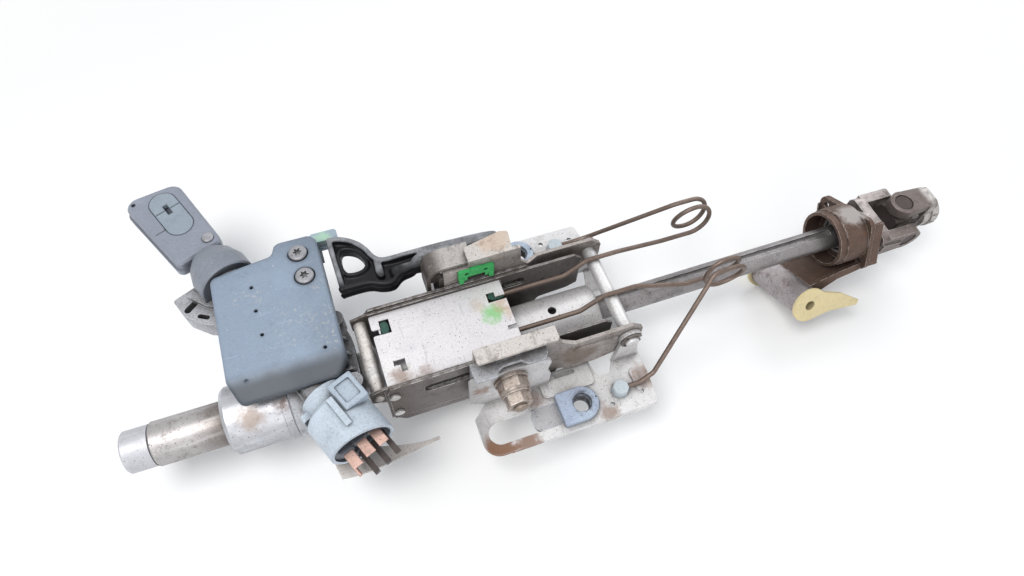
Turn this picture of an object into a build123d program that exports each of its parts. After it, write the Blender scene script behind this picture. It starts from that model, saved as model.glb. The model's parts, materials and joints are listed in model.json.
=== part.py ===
import os
from math import atan2, cos, degrees, hypot, pi, radians, sin

from build123d import *

os.makedirs("parts", exist_ok=True)

# Frame: x along the column towards the universal joint, z up as the part lies,
# origin midway between the two mounting bolts on the underside of the ears.

# Column line and tubes
axis_z = 10.0
jacket_r = 20.0
jacket_wall = 2.0
jacket_front = -190.0
jacket_rear = 36.0
upper_tube_r = 15.5
upper_tube_front = -285.0
collar_r = 24.0
collar_front = -236.0
collar_rear = -192.0
wheel_end_x = -303.0
shaft_r = 9.3
flute_w = 5.6
flute_floor = 6.3

# Mounting bracket
bolt_y = 66.5
sheet = 3.0
ear_left = -75.5
ear_right = 55.0
slot_half = 8.5
ear_edge = 7.0
ear_outer = bolt_y + slot_half + ear_edge
slot_left = -70.0
slot_right = 14.0
cap_x = 31.0
cap_y = 65.0
wire_r = 1.75
spring_end_z = 7.2

# Plates side by side across the column, distances from its middle plane
rail_in = 27.6
rail_t = 1.8
lamella_t = 0.9
wall_in = 31.8
wall_t = 2.5
lug_in = 39.8
lug_out = lug_in + sheet
arm_in = 36.4
upstand_in = 39.2

# Clamp bolt and the rear pivot rod
clamp_x = -47.0
clamp_z = 36.0
clamp_r = 5.0
pivot_x = 44.0
pivot_z = 36.0
pivot_r = 5.0
tilt_half = 3.0

# Lock barrel, seen from above
lock_x = -163.0
lock_y = -30.0
lock_z = 43.0
lock_angle = 113.0
screw_places = ((-161, 86), (-160, 66))
lock_ux = cos(radians(lock_angle))
lock_uy = sin(radians(lock_angle))

# Lower bracket is turned about the shaft by this much
lower_turn = -28.0


def lock_plane(s):
    """Plane across the lock axis at the distance s from the switch end."""
    return Plane(
        origin=(lock_x + s * lock_ux, lock_y + s * lock_uy, lock_z),
        x_dir=(-lock_uy, lock_ux, 0),
        z_dir=(lock_ux, lock_uy, 0),
    )


def lock_plan(z):
    """Horizontal plane whose x runs outwards along the lock axis."""
    return Plane(origin=(lock_x, lock_y, z), x_dir=(lock_ux, lock_uy, 0), z_dir=(0, 0, 1))


def across(y):
    """Vertical plane at y, sketched in x and z, extruding towards -y."""
    return Plane.XZ.offset(-y)


def station(x):
    """Plane across the column axis at x, extruding towards +x."""
    return Plane(origin=(x, 0, axis_z), x_dir=(0, 1, 0), z_dir=(1, 0, 0))


def lower_station(x):
    """Plane across the shaft at x, turned with the lower bracket."""
    c, s = cos(radians(lower_turn)), sin(radians(lower_turn))
    return Plane(origin=(x, 0, axis_z), x_dir=(0, c, s), z_dir=(1, 0, 0))


# Mounting bracket: ears, clamp side plates, pivot upstands and the dipped strap
with BuildPart() as mounting_bracket:
    for side in (-1, 1):
        with BuildSketch(Plane.XY):
            with BuildLine():
                Polyline(
                    (-62, side * lug_in),
                    (ear_left, side * 52),
                    (ear_left, side * ear_outer),
                    (ear_right, side * ear_outer),
                    (ear_right + 2, side * 56),
                    (ear_right + 2, side * upstand_in),
                    (36, side * upstand_in),
                    (30, side * 50),
                    (20, side * 50),
                    (18, side * 35.2),
                    (-16, side * 35.2),
                    (-16, side * lug_in),
                    close=True,
                )
            make_face()
            outer = vertices().filter_by_position(Axis.X, ear_left - 1, ear_left + 1)
            fillet(outer.sort_by(Axis.Y)[0 if side < 0 else -1], 12)
            tail = vertices().filter_by_position(Axis.X, ear_right - 0.5, ear_right + 0.5)
            fillet(tail, 4)
            inner = vertices().group_by(lambda v: round(abs(v.Y - side * 50), 1))[0]
            fillet(inner, 4.5)
            with Locations(((slot_left + slot_right) / 2, side * bolt_y)):
                SlotOverall(slot_right - slot_left, 2 * slot_half, mode=Mode.SUBTRACT)
            with Locations((cap_x, side * cap_y)):
                Circle(3.6, mode=Mode.SUBTRACT)
            with Locations((46, side * (ear_outer - 12))):
                Circle(2.2, mode=Mode.SUBTRACT)
            with Locations((22, side * (ear_outer - 9))):
                Circle(1.8, mode=Mode.SUBTRACT)
        extrude(amount=sheet)
        # outer lip, turned down, with a relief at each end
        with BuildSketch(Plane.YZ.offset(15)):
            with Locations((side * (ear_outer - 1.5), -1)):
                Rectangle(3, 8)
        extrude(amount=34)
        with BuildSketch(Plane.YZ.offset(-58)):
            with Locations((side * (ear_outer - 1.25), 0.5)):
                Rectangle(2.5, 4)
        extrude(amount=66)
        # raised pad beside the clamp and the stiffening bead
        with BuildSketch(Plane.XY.offset(sheet)):
            with Locations((-3.5, side * 45)):
                RectangleRounded(40, 18, 3)
            with Locations((-3, side * 40)):
                RectangleRounded(16, 3.5, 1.2, mode=Mode.SUBTRACT)
        extrude(amount=1.5)
        with BuildSketch(Plane.XY.offset(sheet)):
            with Locations((46, side * 61)):
                SlotOverall(18, 6, rotation=90)
        extrude(amount=1.4, taper=20)
        # clamp side plate with the curved tilt slot about the pivot rod
        with BuildSketch(across(side * lug_in + (0 if side < 0 else sheet))):
            with BuildLine():
                Polyline(
                    (-62, 0),
                    (-76, 13),
                    (-76, 47),
                    (-71, 50),
                    (-24, 50),
                    (-17, 44),
                    (-19, 30),
                    (-16, 22),
                    (-16, 0),
                    close=True,
                )
            make_face()
            fillet(vertices().filter_by_position(Axis.X, -77, -70), 3)
            fillet(vertices().filter_by_position(Axis.X, -20, -16.5), 3)
            reach = hypot(clamp_x - pivot_x, clamp_z - pivot_z)
            lean = degrees(atan2(clamp_z - pivot_z, clamp_x - pivot_x))
            swing = tilt_half + 0.4
            with BuildLine():
                slot_arc = CenterArc((pivot_x, pivot_z), reach, lean - swing, 2 * swing)
            SlotArc(slot_arc, 2 * clamp_r + 1.0, mode=Mode.SUBTRACT)
        extrude(amount=sheet)
        # upstand that carries the pivot rod
        with BuildSketch(across(side * upstand_in + (0 if side < 0 else sheet))):
            with BuildLine():
                Polyline((35, 0), (37.5, pivot_z - 4), (50.5, pivot_z - 4), (56, 0), close=True)
            make_face()
            with Locations((pivot_x, pivot_z)):
                Circle(8.5)
                Circle(pivot_r + 0.06, mode=Mode.SUBTRACT)
        extrude(amount=sheet)
    # strap that dips below the tube and joins both ears
    with BuildSketch(Plane.YZ.offset(46)):
        with BuildLine():
            Polyline(
                (-58, 0), (-38, 0), (-27, -15), (27, -15), (38, 0), (58, 0),
                (58, sheet), (36.6, sheet), (25.6, -12), (-25.6, -12), (-36.6, sheet), (-58, sheet),
                close=True,
            )
        make_face()
    extrude(amount=11)
mounting_bracket.part.label = "mounting_bracket"
export_step(mounting_bracket.part, "parts/mounting_bracket.step")

# Plastic caps that hold the spring ends on the ears
cap_h = 7.5
with BuildPart() as spring_caps:
    for side in (-1, 1):
        with BuildSketch(Plane.XY.offset(sheet)):
            with Locations((cap_x, side * cap_y)):
                RegularPolygon(6.6, 8, rotation=22.5)
        extrude(amount=cap_h, taper=6)
        with BuildSketch(Plane.XY.offset(-0.8)):
            with Locations((cap_x, side * cap_y)):
                Circle(3.5)
        extrude(amount=sheet + 0.8)
        with BuildSketch(Plane.XY.offset(-2.4)):
            with Locations((cap_x, side * cap_y)):
                Circle(4.6)
        extrude(amount=2.4)
        with BuildSketch(Plane.YZ.offset(cap_x + 1)):
            with Locations((side * cap_y, spring_end_z)):
                SlotOverall(2 * wire_r + 1.6, 2 * wire_r + 0.4, rotation=90)
        extrude(amount=8, mode=Mode.SUBTRACT)
spring_caps.part.label = "spring_caps"
export_step(spring_caps.part, "parts/spring_caps.step")


# Breakaway capsules: block on the ear, neck through the slot, foot below it
def capsule(side):
    with BuildPart() as body:
        with BuildSketch(Plane.XY.offset(sheet)):
            with Locations((0, side * bolt_y)):
                Circle(12.2)
            with Locations((-8.5, side * bolt_y)):
                RectangleRounded(17, 24.4, 2)
        extrude(amount=7)
        chamfer(body.faces().sort_by(Axis.Z)[-1].edges(), 0.8)
        with BuildSketch(Plane.XY):
            with Locations((-14.5, side * bolt_y)):
                RectangleRounded(45, 2 * slot_half - 0.1, 5)
        extrude(amount=sheet)
        with BuildSketch(Plane.XY.offset(-2.6)):
            with Locations((-6, side * bolt_y)):
                RectangleRounded(34, 23, 4)
        extrude(amount=2.6)
        with Locations((0, side * bolt_y, 0)):
            Hole(6.0)
        with Locations((0, side * bolt_y, sheet + 7)):
            CounterBoreHole(6.0, 7.2, 3.0)
        with BuildSketch(Plane.XY.offset(sheet + 5.8)):
            with Locations((11, side * bolt_y + 1)):
                Circle(0.9)
        extrude(amount=1.2, mode=Mode.SUBTRACT)
    return body


capsule_near = capsule(-1)
capsule_near.part.label = "capsule_near"
export_step(capsule_near.part, "parts/capsule_near.step")
capsule_far = capsule(1)
capsule_far.part.label = "capsule_far"
export_step(capsule_far.part, "parts/capsule_far.step")

# Swing frame: plan of each wall with its joggle, cut to the side outline
web_bottom = axis_z - jacket_r - 4.9
wall_out = wall_in + wall_t
arm_out = arm_in + wall_t
wall_left = -70.0
wall_top = 75.0
arm_top = 50.0
with BuildPart() as swing_frame:
    with BuildSketch(Plane.XY.offset(web_bottom)):
        for side in (-1, 1):
            with BuildLine():
                Polyline(
                    (wall_left, side * wall_in),
                    (-8, side * wall_in),
                    (2, side * arm_in),
                    (56, side * arm_in),
                    (56, side * arm_out),
                    (1, side * arm_out),
                    (-9, side * wall_out),
                    (wall_left, side * wall_out),
                    close=True,
                )
            make_face()
    extrude(amount=wall_top - web_bottom)
    with BuildSketch(across(60)) as side_outline:
        with BuildLine():
            Polyline(
                (wall_left, web_bottom),
                (wall_left, wall_top),
                (-14, wall_top),
                (-13, 58),
                (-7, arm_top),
                (45, arm_top),
                (54, 42),
                (54, 26),
                (46, 17),
                (22, 10),
                (-6, 9),
                (-12, web_bottom),
                close=True,
            )
        make_face()
        fillet(side_outline.vertices().filter_by_position(Axis.X, 44, 55), 4)
        fillet(side_outline.vertices().filter_by_position(Axis.X, -9, 23), 5)
    extrude(amount=120, mode=Mode.INTERSECT)
    # far wall is lower ahead of its flange
    with BuildSketch(across(wall_out + 1)):
        with Locations((wall_left + 9, wall_top - 1.5)):
            Rectangle(18, 13)
    extrude(amount=wall_t + 2, mode=Mode.SUBTRACT)
    # turned-out flanges, the far one wider towards its rear
    with BuildSketch(Plane.XY.offset(wall_top - wall_t)):
        with BuildLine():
            Polyline(
                (wall_left, -wall_in), (-14, -wall_in), (-14, -42.5), (wall_left, -42.5), close=True
            )
        make_face()
        with BuildLine():
            Polyline((-52, wall_in), (-20, wall_in), (-18, 48), (-24, 49.5), (-52, 44), close=True)
        make_face()
        fillet(vertices().filter_by_position(Axis.Y, -43, -42), 2)
        fillet(vertices().filter_by_position(Axis.Y, 43, 50), 2)
    extrude(amount=wall_t)
    with BuildSketch(Plane.XY.offset(wall_top - 8 - wall_t)):
        with Locations((wall_left + 9, wall_in + 5.5)):
            Rectangle(18, 11)
    extrude(amount=wall_t)
    # bottom web under the channel, with a lightening slot
    with BuildSketch(Plane.XY.offset(web_bottom)):
        with Locations(((wall_left - 12) / 2, 0)):
            Rectangle(-12 - wall_left, 2 * wall_out)
            SlotOverall(36, 16, mode=Mode.SUBTRACT)
    extrude(amount=wall_t)
    # clamp bolt holes, window above the clamp block, pivot rod holes
    with BuildSketch(across(60)):
        with Locations((clamp_x, clamp_z)):
            Circle(clamp_r + 0.05)
        with Locations((pivot_x, pivot_z)):
            Circle(pivot_r)
        with Locations((-46.5, 56)):
            RectangleRounded(17, 9, 1.5)
    extrude(amount=120, mode=Mode.SUBTRACT)
    # stiffening bead pressed into each arm
    for side in (-1, 1):
        with BuildSketch(across(side * arm_out + (0 if side < 0 else 1.0))):
            with Locations((18, 40)):
                SlotOverall(34, 6, rotation=-2)
        extrude(amount=1.0)
swing_frame.part.label = "swing_frame"
export_step(swing_frame.part, "parts/swing_frame.step")

# Rear pivot rod with turned ends, and the clips in its grooves
rod_half = 46.0
with BuildPart() as pivot_rod:
    with BuildSketch(across(rod_half)):
        with Locations((pivot_x, pivot_z)):
            Circle(pivot_r)
    extrude(amount=2 * rod_half)
    chamfer(pivot_rod.edges().filter_by(GeomType.CIRCLE), 0.8)
    for side in (-1, 1):
        with BuildSketch(across(side * 43.2 + 0.6)):
            with Locations((pivot_x, pivot_z)):
                Circle(pivot_r + 1)
                Circle(pivot_r - 1.2, mode=Mode.SUBTRACT)
        extrude(amount=1.2, mode=Mode.SUBTRACT)
pivot_rod.part.label = "pivot_rod"
export_step(pivot_rod.part, "parts/pivot_rod.step")

with BuildPart() as rod_clips:
    for side in (-1, 1):
        with BuildSketch(across(side * 43.2 + 0.5)):
            with Locations((pivot_x, pivot_z)):
                Circle(8.2)
                Circle(3.9, mode=Mode.SUBTRACT)
            with Locations((pivot_x + 6, pivot_z)):
                Rectangle(12, 5.6, mode=Mode.SUBTRACT)
            with Locations((pivot_x - 4, pivot_z + 5.4), (pivot_x - 4, pivot_z - 5.4)):
                Circle(1.3, mode=Mode.SUBTRACT)
        extrude(amount=1.0)
rod_clips.part.label = "rod_clips"
export_step(rod_clips.part, "parts/rod_clips.step")

# Green clip hooked on the inner face of the far wall
with BuildPart() as cable_clip:
    clip_face = wall_in
    with BuildSketch(across(clip_face)):
        with Locations((-47, 61)):
            RectangleRounded(26, 12, 1.2)
        with Locations((-54, 63), (-40, 63)):
            Circle(1.5, mode=Mode.SUBTRACT)
        with Locations((-47, 57)):
            Rectangle(13, 4.5, mode=Mode.SUBTRACT)
    extrude(amount=2.0)
    with BuildSketch(across(clip_face)):
        with Locations((-58, 55.4), (-36, 55.4)):
            Rectangle(3.5, 6)
        with Locations((-47, 66.2)):
            Rectangle(8, 3)
    extrude(amount=2.6)
cable_clip.part.label = "cable_clip"
export_step(cable_clip.part, "parts/cable_clip.step")

# Die-cast block between the near wall and the side plate, with a top ledge
# that stays above the plate at the lowest tilt
ledge_z = 57.0
ledge_t = 3.0
ledge_top = ledge_z + ledge_t
rib_out = lug_out + 0.5
with BuildPart() as clamp_block:
    with BuildSketch(across(-wall_out)):
        with BuildLine():
            Polyline(
                (-73, 26), (-73, ledge_top), (-56, ledge_top), (-56, 52), (-38, 52), (-38, ledge_top),
                (-21, ledge_top), (-21, 46), (-26, 38), (-30, 26), (-40, 24), (-54, 24), (-60, 20), (-68, 20),
                close=True,
            )
        make_face()
        fillet(vertices().filter_by_position(Axis.X, -31, -20), 2)
        fillet(vertices().filter_by_position(Axis.X, -74, -59), 2)
        with Locations((clamp_x, clamp_z)):
            Circle(clamp_r + 0.05, mode=Mode.SUBTRACT)
    extrude(amount=lug_in - wall_out - 0.2)
    with BuildSketch(Plane.XY.offset(ledge_z)):
        with BuildLine():
            Polyline(
                (-73, -wall_out), (-73, -48), (-58, -48), (-56, -44), (-52, -42), (-40, -42),
                (-36, -46), (-24, -46), (-21, -42), (-21, -wall_out),
                close=True,
            )
        make_face()
        fillet(vertices().filter_by_position(Axis.Y, -49, -41.5), 1.5)
        with Locations((-47, -wall_out)):
            Rectangle(18, 8, mode=Mode.SUBTRACT)
    extrude(amount=ledge_t)
    for x in (-70, -61, -33, -26):
        with BuildSketch(Plane.YZ.offset(x - 1)):
            with BuildLine():
                Polyline((-rib_out, ledge_z + 0.1), (-45.8, ledge_z + 0.1), (-rib_out, ledge_z - 3.2), close=True)
            make_face()
        extrude(amount=2)
clamp_block.part.label = "clamp_block"
export_step(clamp_block.part, "parts/clamp_block.step")

# Bent hood round the cam on the lever side
hood_t = 3.0
with BuildPart() as clamp_hood:
    with BuildSketch(across(lug_in - 0.2)):
        with BuildLine():
            Polyline(
                (-73, 26), (-73, 58), (-21, 58), (-21, 46), (-30, 26), (-54, 22), (-66, 22), close=True
            )
        make_face()
        fillet(vertices().filter_by_position(Axis.X, -31, -20), 3)
        with Locations((clamp_x, clamp_z)):
            Circle(clamp_r + 0.05, mode=Mode.SUBTRACT)
    extrude(amount=lug_in - 0.2 - wall_out)
    with BuildSketch(across(51)):
        with BuildLine():
            hood_in = FilletPolyline((-79, 40), (-79, 68), (-48, 68), radius=9)
            hood_out = FilletPolyline(
                (-79 - hood_t, 40), (-79 - hood_t, 68 + hood_t), (-48, 68 + hood_t), radius=9 + hood_t
            )
            Line(hood_in @ 0, hood_out @ 0)
            Line(hood_in @ 1, hood_out @ 1)
        make_face()
    extrude(amount=51 - wall_out)
    with BuildSketch(across(lug_in - 0.2)):
        with Locations((-75, 56)):
            Rectangle(8, 8)
        with Locations((-47.9, 62)):
            Rectangle(8, 14)
    extrude(amount=2.4)
clamp_hood.part.label = "clamp_hood"
export_step(clamp_hood.part, "parts/clamp_hood.step")

# Clamp bolt through both walls, head on the lever side
bolt_head_y = 61.4
with BuildPart() as clamp_bolt:
    with BuildSketch(across(bolt_head_y)):
        with Locations((clamp_x, clamp_z)):
            Circle(clamp_r)
    extrude(amount=bolt_head_y + 66)
    chamfer(clamp_bolt.faces().sort_by(Axis.Y)[0].edges(), 1)
    with BuildSketch(across(bolt_head_y + 6)):
        with Locations((clamp_x, clamp_z)):
            RegularPolygon(6.5, 6, major_radius=False)
    extrude(amount=6)
    with BuildSketch(across(bolt_head_y + 1.5)):
        with Locations((clamp_x, clamp_z)):
            Circle(7.6)
    extrude(amount=1.5)
    # thread grooves at the nut end
    for step in range(3):
        with BuildSketch(across(-59.5 - 2.0 * step)):
            with Locations((clamp_x, clamp_z)):
                Circle(clamp_r + 1)
                Circle(clamp_r - 0.5, mode=Mode.SUBTRACT)
        extrude(amount=1.0, mode=Mode.SUBTRACT)
clamp_bolt.part.label = "clamp_bolt"
export_step(clamp_bolt.part, "parts/clamp_bolt.step")

with BuildPart() as clamp_washers:
    for y, r, t in ((-lug_out - 0.1, 12.0, 2.6), (-52.5, 10.5, 2.0)):
        with BuildSketch(across(y)):
            with Locations((clamp_x, clamp_z)):
                Circle(r)
                Circle(clamp_r + 0.05, mode=Mode.SUBTRACT)
        extrude(amount=t)
clamp_washers.part.label = "clamp_washers"
export_step(clamp_washers.part, "parts/clamp_washers.step")

with BuildPart() as clamp_nuts:
    with BuildSketch(across(-lug_out - 2.7)):
        with Locations((clamp_x, clamp_z)):
            RegularPolygon(9.5, 6, rotation=12, major_radius=False)
            Circle(clamp_r + 0.05, mode=Mode.SUBTRACT)
    extrude(amount=52.5 - lug_out - 2.7)
    with BuildSketch(across(-54.5)):
        with Locations((clamp_x, clamp_z)):
            Circle(10)
            Circle(clamp_r + 0.05, mode=Mode.SUBTRACT)
    extrude(amount=1.6)
    with BuildSketch(across(-56)):
        with Locations((clamp_x, clamp_z)):
            RegularPolygon(8.0, 6, rotation=20, major_radius=False)
            Circle(clamp_r + 0.05, mode=Mode.SUBTRACT)
    extrude(amount=7.5)
clamp_nuts.part.label = "clamp_nuts"
export_step(clamp_nuts.part, "parts/clamp_nuts.step")

# Cam pair: three ramps on each disc
cam_r = 13.0
cam_low = lug_out + 0.1
ramp_h = 0.55


def cam_disc(y0, y1, ramp_y, toward):
    with BuildPart() as disc:
        with BuildSketch(across(y1)):
            with Locations((clamp_x, clamp_z)):
                Circle(cam_r)
                Circle(clamp_r + 0.06, mode=Mode.SUBTRACT)
        extrude(amount=y1 - y0)
        with BuildSketch(across(ramp_y)):
            with Locations((clamp_x, clamp_z)):
                with PolarLocations(9.3, 3, start_angle=0 if toward > 0 else 60):
                    Circle(2.2)
        extrude(amount=-toward * ramp_h)
    return disc


cam_fixed = cam_disc(cam_low, cam_low + 3.3, cam_low + 3.3, 1)
cam_fixed.part.label = "cam_fixed"
export_step(cam_fixed.part, "parts/cam_fixed.step")
cam_moving = cam_disc(cam_low + 4.5, 52.3, cam_low + 4.5, -1)
cam_moving.part.label = "cam_moving"
export_step(cam_moving.part, "parts/cam_moving.step")

# Adjusting lever: hub, rising web, handle with its D-shaped finger hole, long top bar
hub_y0 = 52.3
hub_y1 = 61.0
bar_z = 44.0
bar_t = 8.0
with BuildPart() as adjusting_lever:
    with BuildSketch(across(hub_y1)):
        with Locations((clamp_x, clamp_z)):
            Circle(14)
    extrude(amount=hub_y1 - hub_y0)
    with BuildSketch(across(60)):
        with BuildLine():
            Polyline(
                (-36, 30), (-34, 44), (-40, 50), (-64, 52), (-104, 52), (-104, 44),
                (-74, 42), (-62, 30), (-52, 24), (-42, 24),
                close=True,
            )
        make_face()
        fillet(vertices().filter_by_position(Axis.X, -75, -33), 3)
    extrude(amount=6.5)
    with BuildSketch(Plane.XY.offset(bar_z)):
        with BuildLine():
            Polyline(
                (-142, 48), (-124, 53), (-104, 53), (-88, 53), (-82, 56), (-84, 60), (-100, 61),
                (-104, 66), (-98, 67), (-80, 62), (-22, 60), (-18, 63), (-19, 68), (-80, 71),
                (-104, 79), (-109, 88), (-120, 99.5), (-142, 99.5),
                close=True,
            )
        make_face()
        fillet(vertices().filter_by_position(Axis.X, -121, -119).sort_by(Axis.Y)[-1], 10)
        fillet(vertices().filter_by_position(Axis.X, -110, -80), 2.5)
        with BuildSketch(mode=Mode.PRIVATE) as finger_hole:
            with BuildLine():
                Polyline((-134, 66), (-119, 63), (-115, 71), (-120, 89), (-134, 89), close=True)
            make_face()
            fillet(finger_hole.vertices(), 3.5)
        add(finger_hole.sketch, mode=Mode.SUBTRACT)
    extrude(amount=bar_t)
    # stiffening lip round the handle, recessed face between
    with BuildSketch(Plane.XY.offset(bar_z + bar_t - 2)):
        with BuildLine():
            Polyline((-139, 52), (-126, 56), (-108, 57), (-110, 61), (-124, 60), (-138, 63), close=True)
        make_face()
        with BuildLine():
            Polyline((-96, 70.5), (-80, 66), (-28, 62.5), (-28, 66), (-80, 68.5), close=True)
        make_face()
    extrude(amount=3, mode=Mode.SUBTRACT)
    for x in (-64, -38):
        with BuildSketch(Plane.YZ.offset(x)):
            with BuildLine():
                Polyline((59, 44), (66, 44), (59, 34), close=True)
            make_face()
        extrude(amount=3)
    with BuildSketch(across(hub_y1 + 1)):
        with Locations((clamp_x, clamp_z)):
            Circle(clamp_r + 0.06)
    extrude(amount=20, mode=Mode.SUBTRACT)
adjusting_lever.part.label = "adjusting_lever"
export_step(adjusting_lever.part, "parts/adjusting_lever.step")

# Inner channel under the tube, slotted for the clamp bolt
rail_front = -130.0
rail_rear = 34.0
rail_top = 50.0
rail_bottom = axis_z - jacket_r - 2.2
slot_x0 = -104.0
slot_x1 = -11.0
rail_out = rail_in + rail_t
with BuildPart() as inner_rail:
    with BuildSketch(Plane.YZ.offset(-142)):
        for side in (-1, 1):
            with Locations((side * (rail_in + rail_t / 2), (rail_top + rail_bottom) / 2)):
                Rectangle(rail_t, rail_top - rail_bottom)
            with Locations((side * (rail_in - 1.6), 45.2)):
                Rectangle(4, 1.4)
        with Locations((0, rail_bottom + 1.1)):
            Rectangle(2 * rail_out, 2.2)
    extrude(amount=rail_rear + 142)
    with BuildSketch(across(60)):
        with BuildLine():
            Polyline(
                (-120, rail_bottom), (-130, 0), (-130, 30), (-139.6, 34), (-139.6, 47), (-130, rail_top),
                (28, rail_top), (rail_rear, 44), (rail_rear, 10), (26, 6), (2, 4), (-6, rail_bottom),
                close=True,
            )
        make_face()
        fillet(vertices().filter_by_position(Axis.X, -131, -119), 3)
        fillet(vertices().filter_by_position(Axis.X, 0, 30), 3)
    extrude(amount=120, mode=Mode.INTERSECT)
    with BuildSketch(across(60)):
        with Locations(((slot_x0 + slot_x1) / 2, clamp_z)):
            SlotOverall(slot_x1 - slot_x0, 2 * clamp_r + 0.3)
        with Locations((-134, 40)):
            Circle(3.4)
        with Locations((4, 28), (20, 28)):
            Circle(3)
        with Locations((-100, 14), (-70, 14), (-40, 14)):
            SlotOverall(18, 7)
    extrude(amount=120, mode=Mode.SUBTRACT)
    with BuildSketch(Plane.XY.offset(42)):
        with Locations((5, 0)):
            Rectangle(70, 2 * rail_in)
        with Locations((-134, 0)):
            Rectangle(20, 2 * rail_in)
    extrude(amount=6, mode=Mode.SUBTRACT)
inner_rail.part.label = "inner_rail"
export_step(inner_rail.part, "parts/inner_rail.step")

# Friction plates outside the channel, two on each side, and their pins
lamella_in = rail_out + 0.1
with BuildPart() as slide_lamellas:
    for side in (-1, 1):
        for layer in (0, 1):
            inner_face = lamella_in + layer * (lamella_t + 0.2)
            with BuildSketch(across(side * inner_face + (0 if side < 0 else lamella_t))):
                with BuildLine():
                    Polyline(
                        (-130 + 2 * layer, 1), (-130 + 2 * layer, 48), (-126, 52), (-10, 52),
                        (-6, 47), (-6, 12), (-14, 1),
                        close=True,
                    )
                make_face()
                with Locations(((slot_x0 + slot_x1) / 2, clamp_z)):
                    SlotOverall(slot_x1 - slot_x0, 2 * clamp_r + 0.3, mode=Mode.SUBTRACT)
                with Locations((-124, 40), (-124, 12)):
                    Circle(2.0, mode=Mode.SUBTRACT)
            extrude(amount=lamella_t)
slide_lamellas.part.label = "slide_lamellas"
export_step(slide_lamellas.part, "parts/slide_lamellas.step")

with BuildPart() as lamella_pins:
    for side in (-1, 1):
        for z in (40, 12):
            with BuildSketch(across(side * (rail_out + 1.25) + 1.25)):
                with Locations((-124, z)):
                    Circle(2.0)
            extrude(amount=2.5)
            with BuildSketch(across(side * (wall_in - 0.2) + (0 if side < 0 else 1.6))):
                with Locations((-124, z)):
                    Circle(3.4)
            extrude(amount=1.6)
lamella_pins.part.label = "lamella_pins"
export_step(lamella_pins.part, "parts/lamella_pins.step")

# Plate over the channel with its hooked corners
plate_z = 45.9
plate_t = 1.3
plate_half = rail_in - 0.2
with BuildPart() as label_plate:
    with BuildSketch(Plane.XY.offset(plate_z)):
        with BuildLine():
            Polyline(
                (-127, -plate_half), (-34, -plate_half), (-31, -23), (-31, plate_half), (-127, plate_half),
                close=True,
            )
        make_face()
        with Locations((-123.5, 14)):
            Rectangle(9, 4.5, mode=Mode.SUBTRACT)
        with Locations((-117.5, 17)):
            Rectangle(7, 11, mode=Mode.SUBTRACT)
        with Locations((-115, -12)):
            Rectangle(8, 4, mode=Mode.SUBTRACT)
        with Locations((-113, -15.5)):
            Rectangle(4, 7, mode=Mode.SUBTRACT)
        with Locations((-34, 13.5)):
            Rectangle(8, 3.5, mode=Mode.SUBTRACT)
        with Locations((-41, 15.5)):
            Rectangle(6, 7.5, mode=Mode.SUBTRACT)
        with Locations((-34, -11)):
            Rectangle(7, 3, mode=Mode.SUBTRACT)
        fillet(vertices().filter_by_position(Axis.X, -128, -126), 1.5)
    extrude(amount=plate_t)
    # hooks bent down through the cut-outs
    for x, y, w in ((-118.5, 17, 8), (-114, -15.5, 5)):
        with BuildSketch(Plane.XY.offset(plate_z - 4)):
            with Locations((x - 3.4, y)):
                Rectangle(1.2, w)
        extrude(amount=4.4)
label_plate.part.label = "label_plate"
export_step(label_plate.part, "parts/label_plate.step")

# Cross rod in front of the channel
with BuildPart() as front_rod:
    with BuildSketch(across(rail_in - 0.1)):
        with Locations((-134, 40)):
            Circle(4.6)
    extrude(amount=2 * rail_in - 0.2)
    with BuildSketch(across(rail_out + 1.5)):
        with Locations((-134, 40)):
            Circle(3.35)
    extrude(amount=2 * rail_out + 3)
    chamfer(front_rod.faces().sort_by(Axis.Y)[0].edges(), 0.6)
    chamfer(front_rod.faces().sort_by(Axis.Y)[-1].edges(), 0.6)
front_rod.part.label = "front_rod"
export_step(front_rod.part, "parts/front_rod.step")

# Jacket tube with the hole on top, the lock window and the flared rear mouth
bolt_s = -lock_y / lock_uy
bolt_x = lock_x + bolt_s * lock_ux
with BuildPart() as jacket_tube:
    with BuildSketch(station(jacket_front)):
        Circle(jacket_r)
        Circle(jacket_r - jacket_wall, mode=Mode.SUBTRACT)
    extrude(amount=jacket_rear - jacket_front)
    chamfer(jacket_tube.faces().sort_by(Axis.X)[-1].edges(), 0.6)
    with BuildSketch(Plane.XY.offset(axis_z)):
        with Locations((1, 0)):
            Circle(3.2)
        with Locations((bolt_x, 0)):
            Rectangle(7.6, 7.6, rotation=lock_angle)
    extrude(amount=jacket_r + 1, mode=Mode.SUBTRACT)
jacket_tube.part.label = "jacket_tube"
export_step(jacket_tube.part, "parts/jacket_tube.step")

# Wheel-side tube inside the collar
tube_bore = 12.9
with BuildPart() as column_tube:
    with BuildSketch(station(upper_tube_front)):
        Circle(upper_tube_r)
        Circle(tube_bore, mode=Mode.SUBTRACT)
    extrude(amount=-194 - upper_tube_front)
    chamfer(column_tube.faces().sort_by(Axis.X)[0].edges().sort_by(SortBy.RADIUS)[-1], 1.2)
    with BuildSketch(station(-194)):
        Circle(jacket_r - jacket_wall - 0.02)
        Circle(tube_bore, mode=Mode.SUBTRACT)
    extrude(amount=8)
column_tube.part.label = "column_tube"
export_step(column_tube.part, "parts/column_tube.step")

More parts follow.
